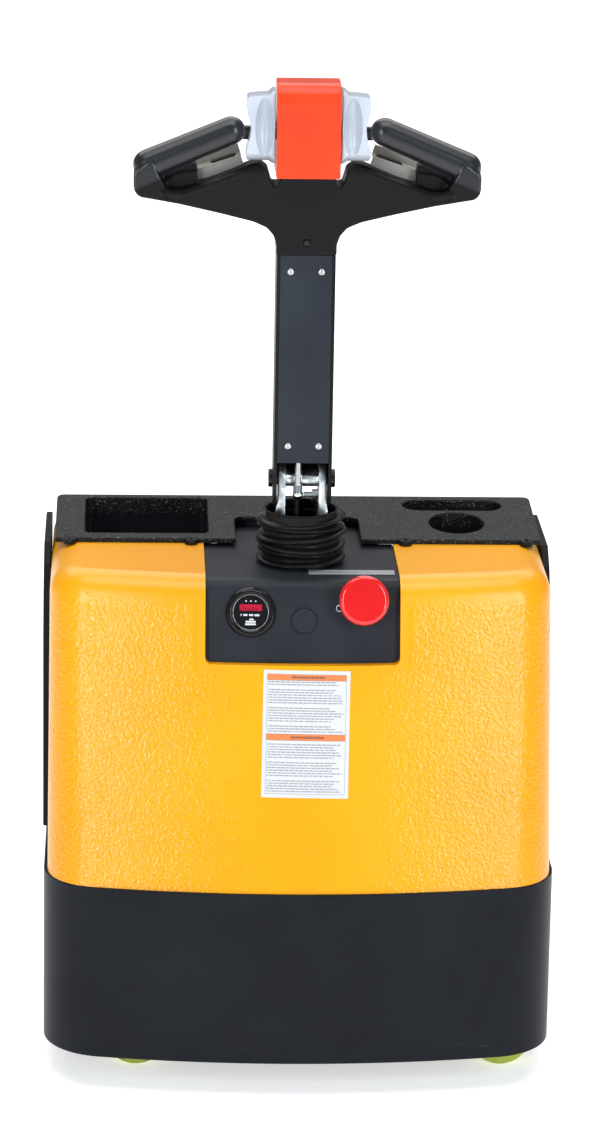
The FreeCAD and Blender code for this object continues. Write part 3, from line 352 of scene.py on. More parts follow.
def moulded(name, colour, rough, size=0.0009, depth=0.00004, gloss=0.14, coat=0.0):
    """Moulded plastic: fine spark-eroded grain and a faint change of sheen."""
    f = Finish(name)
    cloud = f.grain(0.04, 2.0)
    fine = f.grain(size, 3.0, 0.6)
    tone = f.tint(cloud.steps(0.3, 0.7), shade(colour, 0.90), shade(colour, 1.10))
    return f.done(colour=tone, rough=rough + (cloud - 0.5) * 0.12 + (fine - 0.5) * 0.05, gloss=gloss,
                  coat=coat, coat_rough=0.08, normal=f.bump(fine, depth))


def rubbery(name, colour, rough, dust=0.35):
    """Rubber: matt, slightly uneven, with pale dust in patches."""
    f = Finish(name)
    patches = f.grain(0.018, 4.0, 0.65).steps(0.52, 0.75) * dust
    fine = f.grain(0.0012, 3.0, 0.6)
    tone = f.tint(patches, colour, tuple(c + 0.035 for c in colour))
    return f.done(colour=tone, rough=rough + patches * 0.25 + (fine - 0.5) * 0.08, gloss=0.16,
                  normal=f.bump(fine + f.grain(0.008, 2.0) * 0.6, 0.00005))


finishes = {
    "charcoal_paint": coated("charcoal_paint", (0.0110, 0.0125, 0.0160), 0.38, scuffs=0.35, low=0.05),
    "black_paint": coated("black_paint", (0.012, 0.012, 0.013), 0.40, scuffs=0.2),
    "blue_black_plate": coated("blue_black_plate", (0.029, 0.034, 0.042), 0.50, size=0.0011, depth=0.00004),
    "panel_plastic": moulded("panel_plastic", (0.024, 0.027, 0.033), 0.42, 0.0008, 0.00005),
        "grip_rubber": moulded("grip_rubber", (0.011, 0.012, 0.014), 0.36, 0.0010, 0.00002, gloss=0.5),
    "black_plastic": moulded("black_plastic", (0.010, 0.010, 0.011), 0.35),
    "gloss_black": moulded("gloss_black", (0.008, 0.008, 0.009), 0.18, depth=0.00001, coat=0.4),
    "battery_case": moulded("battery_case", (0.022, 0.022, 0.025), 0.5),
    "warm_grey": moulded("warm_grey", (0.36, 0.355, 0.32), 0.38),
    "red_satin": moulded("red_satin", (0.78, 0.056, 0.013), 0.34, 0.0007, 0.00002, coat=0.35),
    "red_gloss": moulded("red_gloss", (0.80, 0.010, 0.012), 0.14, 0.0015, 0.00001, gloss=0.5, coat=0.7),
    "white_plastic": moulded("white_plastic", (0.53, 0.58, 0.65), 0.26, 0.0010, 0.00001, gloss=0.4, coat=0.3),
    "boot_rubber": rubbery("boot_rubber", (0.009, 0.009, 0.0095), 0.33, dust=0.15),
    "cable_black": rubbery("cable_black", (0.009, 0.009, 0.009), 0.42),
    "drive_rubber": rubbery("drive_rubber", (0.018, 0.018, 0.018), 0.7, dust=0.6),
}
print("plain finishes", len(finishes))

# %% [markdown]
# ## The amber cover
# The cover is moulded with a pebble texture that sparkles where the lamps meet it, and the pits between
# the pebbles are darkened in the colour, a painted shade. The pebble stops short of the smooth rim round
# the panel, the rounded top fold and the top shelf, so three soft masks from the height and the width hold
# it back there.

# %% Amber cover
PEBBLE = 0.0023
WINDOW_HALF = 0.117
WINDOW_LOW = 0.527
SMOOTH_RIM = 0.016


def amber_cover():
    f = Finish("amber_cover")
    x, y, z = f.split(f.place)
    side = x.maths("ABSOLUTE")
    near_window = (1 - side.steps(WINDOW_HALF + SMOOTH_RIM * 0.5, WINDOW_HALF + SMOOTH_RIM))
    near_window = near_window * z.steps(WINDOW_LOW - SMOOTH_RIM, WINDOW_LOW - SMOOTH_RIM * 0.5)
    below_fold = 1 - z.steps(cover_top - 0.040, cover_top - 0.018)
    pebbled = below_fold * (1 - near_window) * (side.steps(0.04, 0.17) * 0.6 + 0.4)
    lumps = f.grain(PEBBLE, 2.0, 0.45, warp=0.4)
    worms = f.cells(PEBBLE * 1.4, "SMOOTH_F1")
    height = (lumps * 0.9 + worms * 0.35) * pebbled + f.grain(0.02, 1.0) * 0.3
    cloud = f.grain(0.12, 2.0)
    amber = f.tint(cloud.steps(0.35, 0.65), (0.94, 0.385, 0.0020), (0.98, 0.420, 0.0028))
    # painted shade: the pits between the pebbles are darkened in the colour
    pits = lumps.steps(0.50, 0.30) * pebbled
    tone = f.tint(pits * 0.20, amber, (0.85, 0.32, 0.002))
    return f.done(colour=tone, rough=0.30 - pebbled * 0.08 + (cloud - 0.5) * 0.06, gloss=0.5,
                  normal=f.bump(height, 0.0013, 1.0))


finishes["amber_cover"] = amber_cover()
print("pebble size mm", PEBBLE / MM)

# %% [markdown]
# ## The storage tray
# The tray is thick black plastic with a coarse leather grain of many small raised cells. Its sparkle is
# painted: bright grey specks in the colour of the top face stand for glints of light. The floors and walls
# of the pockets came out of the mould smoother, so the grain fades with depth and they get no painted sparkle.

# %% Grained tray
def grained_tray():
    f = Finish("grained_tray")
    x, y, z = f.split(f.place)
    deck = z.steps(cover_top - 0.016, cover_top - 0.002)
    cells = f.cells(0.0026, "SMOOTH_F1")
    fine = f.grain(0.0015, 3.0, 0.6)
    height = (cells * 0.8 + fine * 0.7) * (deck * 0.8 + 0.2)
    # painted sparkle: bright grey specks in the top face's colour stand for glints of light
    painted_sparkle = f.grain(0.0016, 2.0, 0.7).steps(0.60, 0.70) * deck
    tone = f.tint(painted_sparkle * 0.8, (0.0060, 0.0060, 0.0058), (0.20, 0.20, 0.19))
    pocket = f.tint(deck, (0.010, 0.011, 0.014), tone)
    return f.done(colour=pocket, rough=0.36 + deck * 0.04 + (fine - 0.5) * 0.1, gloss=0.22,
                  normal=f.bump(height, 0.0013, 1.0))


finishes["grained_plastic"] = grained_tray()
print("tray grain ready")

# %% [markdown]
# ## Metals
# Bright zinc plate has a mottled, spangled look: patches of different tone and gloss. Chrome is almost a
# mirror with faint rings. Cast parts are grey, pitted and a little oily.

# %% Metals
def zinc():
    f = Finish("zinc_plate")
    spangle = f.cells(0.007, "F1", "Color", f.at(stretch=(1, 1, 0.6)))
    patch = f.add("ShaderNodeSeparateColor", {}, {"Color": spangle}, "Red")
    cloud = f.grain(0.010, 3.0, 0.65)
    mottle = (patch * 0.5 + cloud * 0.9).steps(0.45, 0.95)
    tone = f.tint(mottle, (0.30, 0.35, 0.36), (0.86, 0.90, 0.90))
    return f.done(colour=tone, metal=1.0, rough=0.46 - mottle * 0.22,
                  normal=f.bump(cloud + f.grain(0.0012, 2.0) * 0.3, 0.00025, 0.6))


def plain_metal(name, colour, rough, along="Z", depth=0.00002):
    f = Finish(name)
    lines = f.brushed(0.0004, along)
    cloud = f.grain(0.02, 3.0)
    tone = f.tint(cloud.steps(0.3, 0.7), shade(colour, 0.88), shade(colour, 1.08))
    return f.done(colour=tone, metal=1.0, rough=rough + (lines - 0.5) * 0.12 + (cloud - 0.5) * 0.08,
                  normal=f.bump(lines, depth))


def cast(name, colour):
    f = Finish(name)
    pits = f.grain(0.0022, 4.0, 0.65)
    stain = f.grain(0.03, 3.0).steps(0.5, 0.75)
    tone = f.tint(stain * 0.5, colour, shade(colour, 0.45))
    return f.done(colour=tone, metal=0.55, rough=0.58 - stain * 0.15 + (pits - 0.5) * 0.15,
                  normal=f.bump(pits, 0.0003, 0.7))


finishes.update({
    "zinc_plate": zinc(),
    "satin_steel": plain_metal("satin_steel", (0.62, 0.62, 0.62), 0.30),
    "black_steel": plain_metal("black_steel", (0.045, 0.045, 0.048), 0.34),
    "alu_case": plain_metal("alu_case", (0.70, 0.71, 0.72), 0.38, "Y"),
    "cast_grey": cast("cast_grey", (0.26, 0.27, 0.28)),
})
print("metal finishes ready")

# %% [markdown]
# ## Forks and wheels
# Fork paint wears through to bright steel on the top face, where pallets slide over it, and on the tips.
# The small wheels are cast polyurethane, yellow-green and slightly see-through, with a dirty tread.

# %% Fork paint and polyurethane
fork_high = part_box("forks")[1]


def fork_paint():
    f = Finish("fork_paint")
    x, y, z = f.split(f.place)
    peel = f.grain(0.0018, 2.0)
    lines = f.grain(0.0016, 3.0, 0.7, f.at(stretch=(1.0, 0.03, 1.0)))
    on_top = z.steps(fork_high.z - 0.0010, fork_high.z - 0.0004)
    at_tip = y.steps(fork_high.y - 0.16, fork_high.y)
    patches = f.grain(0.05, 4.0, 0.6).steps(0.52, 0.66)
    worn_top = lines.steps(0.50, 0.62) * patches * on_top
    worn = (worn_top + lines.steps(0.56, 0.60) * at_tip * 0.8).maths("MINIMUM", 1.0)
    tone = f.tint(worn, f.tint(peel, (0.014, 0.0145, 0.016), (0.022, 0.023, 0.025)), (0.42, 0.42, 0.43))
    return f.done(colour=tone, metal=worn, rough=0.42 - worn * 0.08 + (peel - 0.5) * 0.1,
                  normal=f.bump(peel - worn * 0.6, 0.00008))


def polyurethane():
    f = Finish("caster_pu")
    dirt = f.grain(0.012, 4.0, 0.65).steps(0.50, 0.72)
    fine = f.grain(0.0010, 3.0)
    tone = f.tint(dirt * 0.6, (0.44, 0.52, 0.060), (0.10, 0.10, 0.045))
    return f.done(colour=tone, rough=0.34 + dirt * 0.3, skin=0.15, skin_reach=(0.004, 0.005, 0.001),
                  skin_scale=0.4, normal=f.bump(fine, 0.00006))


finishes["fork_paint"] = fork_paint()
finishes["caster_pu"] = polyurethane()

# %% [markdown]
# ## The chrome rod and its grey socket
# The gas spring's rod, socket and ball are one CAD piece, so one finish covers all three: the height along
# the rod tells which is which.

# %% Gas spring rod
rod_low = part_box("gas_rod")[0]
SOCKET_TOP = rod_low.z + 0.0185
BALL_TOP = rod_low.z + 0.0100


def chrome_rod():
    f = Finish("chrome_rod")
    x, y, z = f.split(f.place)
    socket = z.steps(SOCKET_TOP + 0.0003, SOCKET_TOP - 0.0003)
    ball = z.steps(BALL_TOP + 0.0006, BALL_TOP - 0.0006)
    grey = socket * (1 - ball)
    rings = f.grain(0.0006, 2.0, 0.6, f.at(stretch=(0.1, 0.1, 1.0)))
    tone = f.tint(grey, (0.86, 0.87, 0.88), (0.20, 0.23, 0.26))
    return f.done(colour=tone, metal=1.0 - grey * 0.4, rough=0.06 + grey * 0.34 + rings * 0.05,
                  normal=f.bump(rings, 0.00001))


finishes["chrome_rod"] = chrome_rod()
print("rod finish splits at", round(SOCKET_TOP, 4))

# %% [markdown]
# ## The head's black plastic
# The grips are polished by hands, and the rest of the head keeps its dull mould grain. The distance from
# the grip's own line says which is which, so the gloss follows the grip round its bend. The grips' colour
# is also painted a little lighter and bluer, a painted sheen.

# %% Head plastic
GRIP_RADIUS = 0.0170
grip_low, grip_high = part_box("hand_grips")
grip_y = (grip_low.y + grip_high.y) / 2
grip_out = Vector((grip_high.x - GRIP_RADIUS, grip_y, grip_low.z + GRIP_RADIUS))
grip_in = Vector((0.091, grip_y, grip_high.z - GRIP_RADIUS))


def head_plastic():
    f = Finish("head_plastic")
    x, y, z = f.split(f.place)
    along = (grip_in - grip_out).normalized()
    off = (x.maths("ABSOLUTE") - grip_out.x) * -along.z + (z - grip_out.z) * along.x
    polish_and_sheen = 1 - off.maths("ABSOLUTE").steps(GRIP_RADIUS - 0.001, GRIP_RADIUS + 0.004)
    cloud = f.grain(0.04, 2.0)
    fine = f.grain(0.0008, 3.0, 0.6)
    # painted sheen: the grips' colour is a little lighter and bluer than the rest of the head
    tone = f.tint(polish_and_sheen, (0.0085, 0.0088, 0.0092), (0.0100, 0.0115, 0.0140))
    return f.done(colour=tone, rough=0.44 - polish_and_sheen * 0.06 + (cloud - 0.5) * 0.1, gloss=0.14,
                  coat=polish_and_sheen * 0.9, coat_rough=0.26, normal=f.bump(fine, 0.00003))


finishes["head_plastic"] = head_plastic()
print("grip line", [round(v, 3) for v in grip_out], [round(v, 3) for v in grip_in])

# %% [markdown]
# ## The printed labels
# The instruction label is white film with two orange heading bands and blocks of fine print. No words are
# drawn: each line is a row of short grey bars. A row number and a position along the row give every bar
# its own place, so the same few lines of maths print the whole sheet.

# %% Label print
label_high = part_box("labels")[1]
STRIP_MIDDLE = label_high.y - 0.0095
SHEET_LEFT, SHEET_RIGHT = -0.048, 0.056
SHEET_LOW, SHEET_HIGH = 0.369, 0.516
SHEET_TILT = math.radians(0.9)
MARGIN = 0.0042
BAND = 0.0072
ROW = 0.0030
WORD = 0.0060


def label_film():
    f = Finish("label_white")
    raw_x, y, raw_z = f.split(f.place)
    centre_x, middle = (SHEET_LEFT + SHEET_RIGHT) / 2, (SHEET_LOW + SHEET_HIGH) / 2
    across, along = raw_x - centre_x, raw_z - middle
    x = across * math.cos(SHEET_TILT) - along * math.sin(SHEET_TILT) + centre_x
    z = across * math.sin(SHEET_TILT) + along * math.cos(SHEET_TILT) + middle
    left, right_ = SHEET_LEFT + MARGIN, SHEET_RIGHT - MARGIN
    low, high = SHEET_LOW + MARGIN, SHEET_HIGH - MARGIN
    inside = x.over(left) * x.under(right_) * z.over(low) * z.under(high)
    core = x.over(left + 0.0005) * x.under(right_ - 0.0005) * z.over(low + 0.0005) * z.under(high - 0.0005)
    frame_line = inside - core
    row = (z / ROW).maths("FLOOR")
    row_part = (z / ROW).maths("FRACT")
    spread = f.add("ShaderNodeTexWhiteNoise", {"noise_dimensions": "1D"}, {"W": row}, "Value")
    blank = (row + 3.0).maths("MODULO", 7.0).under(0.5)
    word = ((x + spread * WORD) / WORD).maths("FRACT")
    letter = f.add("ShaderNodeTexNoise", {}, {"Vector": f.vector(x * 700.0, row * 7.3, 0.0), "Scale": 1.0})
    in_row = row_part.over(0.28) * row_part.under(0.76) * (1 - blank)
    in_line = x.over(left + 0.0014) * x.under(right_ - 0.002 - spread * 0.018)
    text = in_row * in_line * word.over(0.10) * (letter.steps(0.32, 0.50) * 0.6 + 0.4)
    upper_text = z.under(high - BAND - 0.001) * z.over(middle + 0.001)
    text = text * (upper_text + z.under(middle - BAND - 0.001) * z.over(low + 0.001))
    band_one = z.under(high) * z.over(high - BAND)
    band_two = z.under(middle) * z.over(middle - BAND)
    bands = (band_one + band_two) * core
    heading_row = (z - (high - BAND * 0.5)).maths("ABSOLUTE").under(0.0014)
    heading_row = heading_row + (z - (middle - BAND * 0.5)).maths("ABSOLUTE").under(0.0014)
    heading = heading_row * x.over(-0.014) * x.under(0.026) * (x * 330.0).maths("FRACT").over(0.28)
    lines = (z - (high - BAND)).maths("ABSOLUTE").under(0.0003) + (z - middle).maths("ABSOLUTE").under(0.0003)
    lines = lines + (z - (middle - BAND)).maths("ABSOLUTE").under(0.0003)
    strip = raw_z.over(cover_top - 0.02)
    strip_mark = raw_x.under(0.070) * (raw_x * 420.0).maths("FRACT").over(0.35)
    strip_mark = strip_mark * (y - STRIP_MIDDLE).maths("ABSOLUTE").under(0.004)
    film = f.tint(strip, (0.72, 0.73, 0.75), (0.38, 0.39, 0.40))
    film = f.tint(bands * (1 - strip), film, (0.86, 0.245, 0.085))
    ink = (text * 0.75 + heading * bands + frame_line * 0.8 + lines * core * 0.8) * (1 - strip)
    ink = (ink + strip * strip_mark * 0.5).maths("MINIMUM", 1.0)
    tone = f.tint(ink * 0.8, film, (0.050, 0.050, 0.055))
    return f.done(colour=tone, rough=0.34 + ink * 0.1, gloss=0.3,
                  normal=f.bump(f.grain(0.0014, 2.0), 0.00002))


finishes["label_white"] = label_film()
print("label rows", int((SHEET_HIGH - SHEET_LOW) / ROW))

# %% [markdown]
# ## Give every CAD node its finish
# The record names a finish for each node, so one loop hands them out.

# %% Hand out the finishes
finishes["dial_face"] = finishes["gloss_black"]
slots = {part["node"]: part["material_slot"] for part in frame["record"]["subparts"]}
for name, thing in nodes.items():
    thing.data.materials.clear()
    thing.data.materials.append(finishes[slots[name]])
print("painted", len(slots), "nodes")


# %% [markdown]
# ## Tools for new pieces
# `add_mesh` makes a piece from points and faces. `lathe` turns a profile round an axis, which suits
# buttons, rings and bezels. `softened` copies a CAD node, joins its loose triangles, and rounds its sharp
# edges, because real folded steel and moulded plastic never end in a knife edge.

# %% Mesh tools
def add_mesh(name, points, faces, finish, place=None):
    mesh = bpy.data.meshes.new(name)
    mesh.from_pydata([tuple(place @ Vector(p)) if place else tuple(p) for p in points], [], faces)
    mesh.validate()
    shell = bmesh.new()
    shell.from_mesh(mesh)
    bmesh.ops.remove_doubles(shell, verts=shell.verts, dist=1e-6)
    bmesh.ops.recalc_face_normals(shell, faces=shell.faces)
    shell.to_mesh(mesh)
    shell.free()
    mesh.shade_smooth()
    mesh.materials.append(finishes[finish])
    piece = bpy.data.objects.new(name, mesh)
    scene.collection.objects.link(piece)
    return piece


def settle(piece):
    """Applies a piece's modifiers and leaves a plain mesh."""
    bpy.context.view_layer.update()
    graph = bpy.context.evaluated_depsgraph_get()
    mesh = bpy.data.meshes.new_from_object(piece.evaluated_get(graph))
    piece.modifiers.clear()
    piece.data = mesh
    return piece


def give(piece, body, slot, *stands_for):
    """Rides a piece on its body and hides the CAD nodes that it stands for. The slot argument is not used."""
    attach(piece, body)
    if stands_for:
        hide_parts(*stands_for)


def lathe(name, profile, finish, place, around=72):
    """Turns (radius, height) points round the local -Y axis of a seat."""
    points, faces = [], []
    for step in range(around):
        angle = math.tau * step / around
        points += [(r * math.cos(angle), -h, r * math.sin(angle)) for r, h in profile]
    count = len(profile)
    for step in range(around):
        here, there = step * count, (step + 1) % around * count
        faces += [(here + k, here + k + 1, there + k + 1, there + k) for k in range(count - 1)]
    return add_mesh(name, points, faces, finish, place)


def sharpened(piece, degrees=35.0):
    """Keeps edges sharper than this angle crisp and smooths the rest."""
    piece.data.set_sharp_from_angle(angle=math.radians(degrees))
    return piece


def copy_of(*names):
    """One merged, closed mesh from copies of CAD nodes."""
    shell = bmesh.new()
    for name in names:
        shell.from_mesh(nodes[name].data)
    bmesh.ops.remove_doubles(shell, verts=shell.verts, dist=2e-6)
    mesh = bpy.data.meshes.new(names[0] + "_copy")
    shell.to_mesh(mesh)
    shell.free()
    return mesh


def softened(node, width, body, angle=30.0):
    """A copy of a CAD node with its sharp edges rounded, which stands for that node."""
    mesh = copy_of(node)
    shell = bmesh.new()
    shell.from_mesh(mesh)
    bmesh.ops.dissolve_limit(shell, angle_limit=math.radians(0.2), verts=shell.verts, edges=shell.edges)
    shell.to_mesh(mesh)
    shell.free()
    mesh.shade_smooth()
    mesh.materials.clear()
    mesh.materials.append(finishes[slots[node]])
    piece = bpy.data.objects.new(node + "_soft", mesh)
    scene.collection.objects.link(piece)
    rounding = piece.modifiers.new("rounding", "BEVEL")
    rounding.width = width
    rounding.segments = 2
    rounding.limit_method = "ANGLE"
    rounding.angle_limit = math.radians(angle)
    rounding.harden_normals = True
    settle(piece)
    give(piece, body, slots[node], node)
    return piece


print("mesh tools ready")

# %% [markdown]
# ## Rounded steel and plastic edges
# These nodes are plates and blocks with crisp CAD edges, so each gets a small round of its own size.

# %% Rounded copies
body_of = {node: body for body, members in frame["record"]["behaviour"]["bodies"].items() for node in members}
ROUNDED = {"tiller_arm": 1.2, "arm_cover": 0.5, "tiller_clevis": 0.8, "button_plates": 0.5,
           "steering_bracket": 1.0, "fork_carriage": 1.0}
for node, width in ROUNDED.items():
    softened(node, width * MM, body_of[node])
print("rounded", len(ROUNDED), "nodes")

# %% [markdown]
# ## The tiller head
# The head is one soft moulding: the neck, two wings and the grips flow into each other. Joining the CAD
# block and two thick bars into one skin of even small faces, and then relaxing it, gives that flow for
# free. The wings' upper edges slope back, so points near the upper edge are pushed back afterwards.

# %% Grip bars
def capsule(start, end, radius_start, radius_end, around=32, cap=8):
    """Points and faces of a round-ended bar that may taper."""
    axis = (end - start).normalized()
    side = axis.orthogonal().normalized()
    other = axis.cross(side)
    rings = [(start, radius_start, math.pi / 2 * (k / cap - 1)) for k in range(1, cap + 1)]
    rings += [(end, radius_end, math.pi / 2 * k / cap) for k in range(cap)]
    points = [start - axis * radius_start]
    for centre, radius, bend in rings:
        for step in range(around):
            angle = math.tau * step / around
            rim = side * math.cos(angle) + other * math.sin(angle)
            points.append(centre + axis * radius * math.sin(bend) + rim * radius * math.cos(bend))
    points.append(end + axis * radius_end)
    faces = [(0, 1 + (k + 1) % around, 1 + k) for k in range(around)]
    for ring in range(len(rings) - 1):
        low = 1 + ring * around
        faces += [(low + k, low + (k + 1) % around, low + around + (k + 1) % around, low + around + k)
                  for k in range(around)]
    last = len(points) - 1
    faces += [(last, last - around + k, last - around + (k + 1) % around) for k in range(around)]
    return points, faces


# %% Head moulding
HEAD_VOXEL = 0.0014
WING_SLOPE = 0.011


def relaxed(name, meshes, voxel, rounds, finish):
    """Joins closed meshes into one skin of even small faces, and relaxes it."""
    shell = bmesh.new()
    for mesh in meshes:
        shell.from_mesh(mesh)
    joined = bpy.data.meshes.new(name)
    shell.to_mesh(joined)
    shell.free()
    piece = bpy.data.objects.new(name, joined)
    scene.collection.objects.link(piece)
    skin = piece.modifiers.new("skin", "REMESH")
    skin.mode = "VOXEL"
    skin.voxel_size = voxel
    relax = piece.modifiers.new("relax", "SMOOTH")
    relax.factor = 0.5
    relax.iterations = rounds
    settle(piece)
    piece.data.materials.clear()
    piece.data.materials.append(finishes[finish])
    piece.data.shade_smooth()
    return piece


def bar_mesh(name, start, end, radius_start, radius_end):
    points, faces = capsule(start, end, radius_start, radius_end)
    return add_mesh(name, points, faces, "grip_rubber")


WEB = ((131, 1075), (131, 1105), (150, 1112), (170, 1104), (185, 1092), (185, 1070))
WEB_DEPTH = (0.007, 0.028)


def web_mesh(side):
    """The thin web that closes the outer end of a loop, behind the grip."""
    count = len(WEB)
    points = [(side * x * MM, grip_y + y, z * MM) for y in WEB_DEPTH for x, z in WEB]
    faces = [tuple(range(count)), tuple(range(2 * count - 1, count - 1, -1))]
    faces += [(k, (k + 1) % count, count + (k + 1) % count, count + k) for k in range(count)]
    return add_mesh(f"web_{side}", points, faces, "head_plastic")


bars = []
for side in (-1, 1):
    flip = Vector((side, 1, 1))
    bars.append(web_mesh(side))
    bars.append(bar_mesh(f"bar_{side}", grip_out * flip, grip_in * flip, GRIP_RADIUS + 0.001, GRIP_RADIUS))
head_meshes = [copy_of("tiller_head")] + [b.data for b in bars]
head = relaxed("tiller_head_moulding", head_meshes, HEAD_VOXEL, 9, "head_plastic")
for bar in bars:
    bpy.data.objects.remove(bar)


def wing_top(x):
    """Height of the wing's upper edge inside the loop."""
    return 1.077 + max(0.0, 0.150 - x) * 0.36


wing_front = steer_y - 0.0310
for vertex in head.data.vertices:
    if vertex.co.z < 1.0900 and vertex.co.y < wing_front:
        vertex.co.y = wing_front
    across = abs(vertex.co.x)
    fade = min(1.0, max(0.0, (across - 0.042) / 0.012)) * min(1.0, max(0.0, (0.176 - across) / 0.016))
    below = wing_top(across) - vertex.co.z
    if fade > 0 and vertex.co.y < steer_y - 0.020 and -0.004 < below < WING_SLOPE:
        share = 1 - max(0.0, below) / WING_SLOPE
        vertex.co.y += fade * share ** 1.4 * 0.012
give(head, "tiller", "head_plastic", "tiller_head", "hand_grips")
print("head faces", len(head.data.polygons))

# %% [markdown]
# ## The thumb paddles
# Each paddle is a white plate with a waisted outer edge and a long oval thumb dish in its front. We cut
# the dish out of a simple block with an ellipsoid, then relax the skin so that every edge goes soft.

# %% Thumb paddles
PADDLE_VOXEL = 0.0009
paddle_low, paddle_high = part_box("throttle_paddles")


PADDLE_EDGE = ((39.5, 1199.0), (43.0, 1198.0), (47.6, 1193.6), (60.0, 1192.6), (70.6, 1191.4),
               (72.6, 1189.6), (73.4, 1183.0), (72.2, 1170.5), (69.6, 1162.4), (68.0, 1155.0),
               (68.8, 1145.3), (71.0, 1135.6), (73.6, 1127.4), (73.9, 1120.0), (72.2, 1114.2),
               (65.9, 1111.6), (54.7, 1110.4), (47.2, 1106.8), (43.0, 1101.4), (39.5, 1100.0))
DISH_X, DISH_Z = 0.0520, 1.1555
PADDLE_SWEEP, FLANGE_STEP = 0.0430, 0.0040
PADDLE_LIP = 0.0040
DISH_RADII = (0.0108, 0.0125, 0.0350)


def slab(name, outline, y0, y1, side):
    """A flat slab with that outline, between two depths."""
    count = len(outline)
    points = [(side * x * MM, y, z * MM) for y in (y0, y1) for x, z in outline]
    faces = [tuple(range(count)), tuple(range(2 * count - 1, count - 1, -1))]
    faces += [(k, (k + 1) % count, count + (k + 1) % count, count + k) for k in range(count)]
    return add_mesh(name, points, faces, "white_plastic")


def dish_tool(name, centre, radii):
    ball = bmesh.new()
    place = Matrix.Translation(centre) @ Matrix.Diagonal((*radii, 1.0))
    bmesh.ops.create_icosphere(ball, subdivisions=4, radius=1.0, matrix=place)
    mesh = bpy.data.meshes.new(name)
    ball.to_mesh(mesh)
    ball.free()
    tool = bpy.data.objects.new(name, mesh)
    scene.collection.objects.link(tool)
    return tool


pair = []
for side in (-1, 1):
    blank = slab(f"paddle_{side}", PADDLE_EDGE, paddle_low.y, paddle_high.y, side)
    dish = dish_tool("dish", Vector((side * DISH_X, paddle_low.y, DISH_Z)), DISH_RADII)
    cut = blank.modifiers.new("dish", "BOOLEAN")
    cut.operation = "DIFFERENCE"
    cut.object = dish
    settle(blank)
    bpy.data.objects.remove(dish)
    pair.append(blank)
paddles = relaxed("thumb_paddles", [p.data for p in pair], PADDLE_VOXEL, 4, "white_plastic")
for blank in pair:
    bpy.data.objects.remove(blank)
shaft_low, shaft_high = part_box("throttle_shaft")
pivot_y, pivot_z = (shaft_low.y + shaft_high.y) / 2, (shaft_low.z + shaft_high.z) / 2
for vertex in paddles.data.vertices:
    inner = min(max((0.047 - abs(vertex.co.x)) / 0.006, 0.0), 1.0)
    sweep = PADDLE_SWEEP + FLANGE_STEP * inner
    drop = min(pivot_z - vertex.co.z, sweep)
    if drop > 0:
        reach = math.sqrt(max(sweep ** 2 - drop ** 2, PADDLE_LIP ** 2))
        vertex.co.y = max(vertex.co.y, pivot_y - reach)
        vertex.co.z = pivot_z - drop
give(paddles, "throttle", "white_plastic", "throttle_paddles")
print("paddle faces", len(paddles.data.polygons))

# %% [markdown]
# ## The rubber boot
# The boot is a bellows that follows a rule: the radius swings between a valley and a peak with the height,
# and each fold leans its own way because the rubber has settled. That is field maths, so Geometry Nodes
# makes it from a flat grid: one direction of the grid runs round the boot and the other runs up it.

# %% Boot tree
boot_low, boot_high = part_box("steering_boot")
BOOT_BASE = boot_low.z + 0.0092
BOOT_FOLDS = 5.5
AROUND, UP = 144, 120


def add_inputs(tree, sizes):
    """Named number inputs of a Geometry Nodes tree, and the identifiers they were given."""
    found = {}
    for name, value in sizes.items():
        socket = tree.interface.new_socket(name, in_out="INPUT", socket_type="NodeSocketFloat")
        socket.default_value = value
        found[name] = socket.identifier
    return found


def grow(piece, name, tree, sizes):
    """Puts a tree on a piece and sets its named inputs by their identifiers."""
    modifier = piece.modifiers.new(name, "NODES")
    modifier.node_group = tree
    for item in tree.interface.items_tree:
        if item.item_type == "SOCKET" and item.in_out == "INPUT":
            modifier[item.identifier] = sizes[item.name]


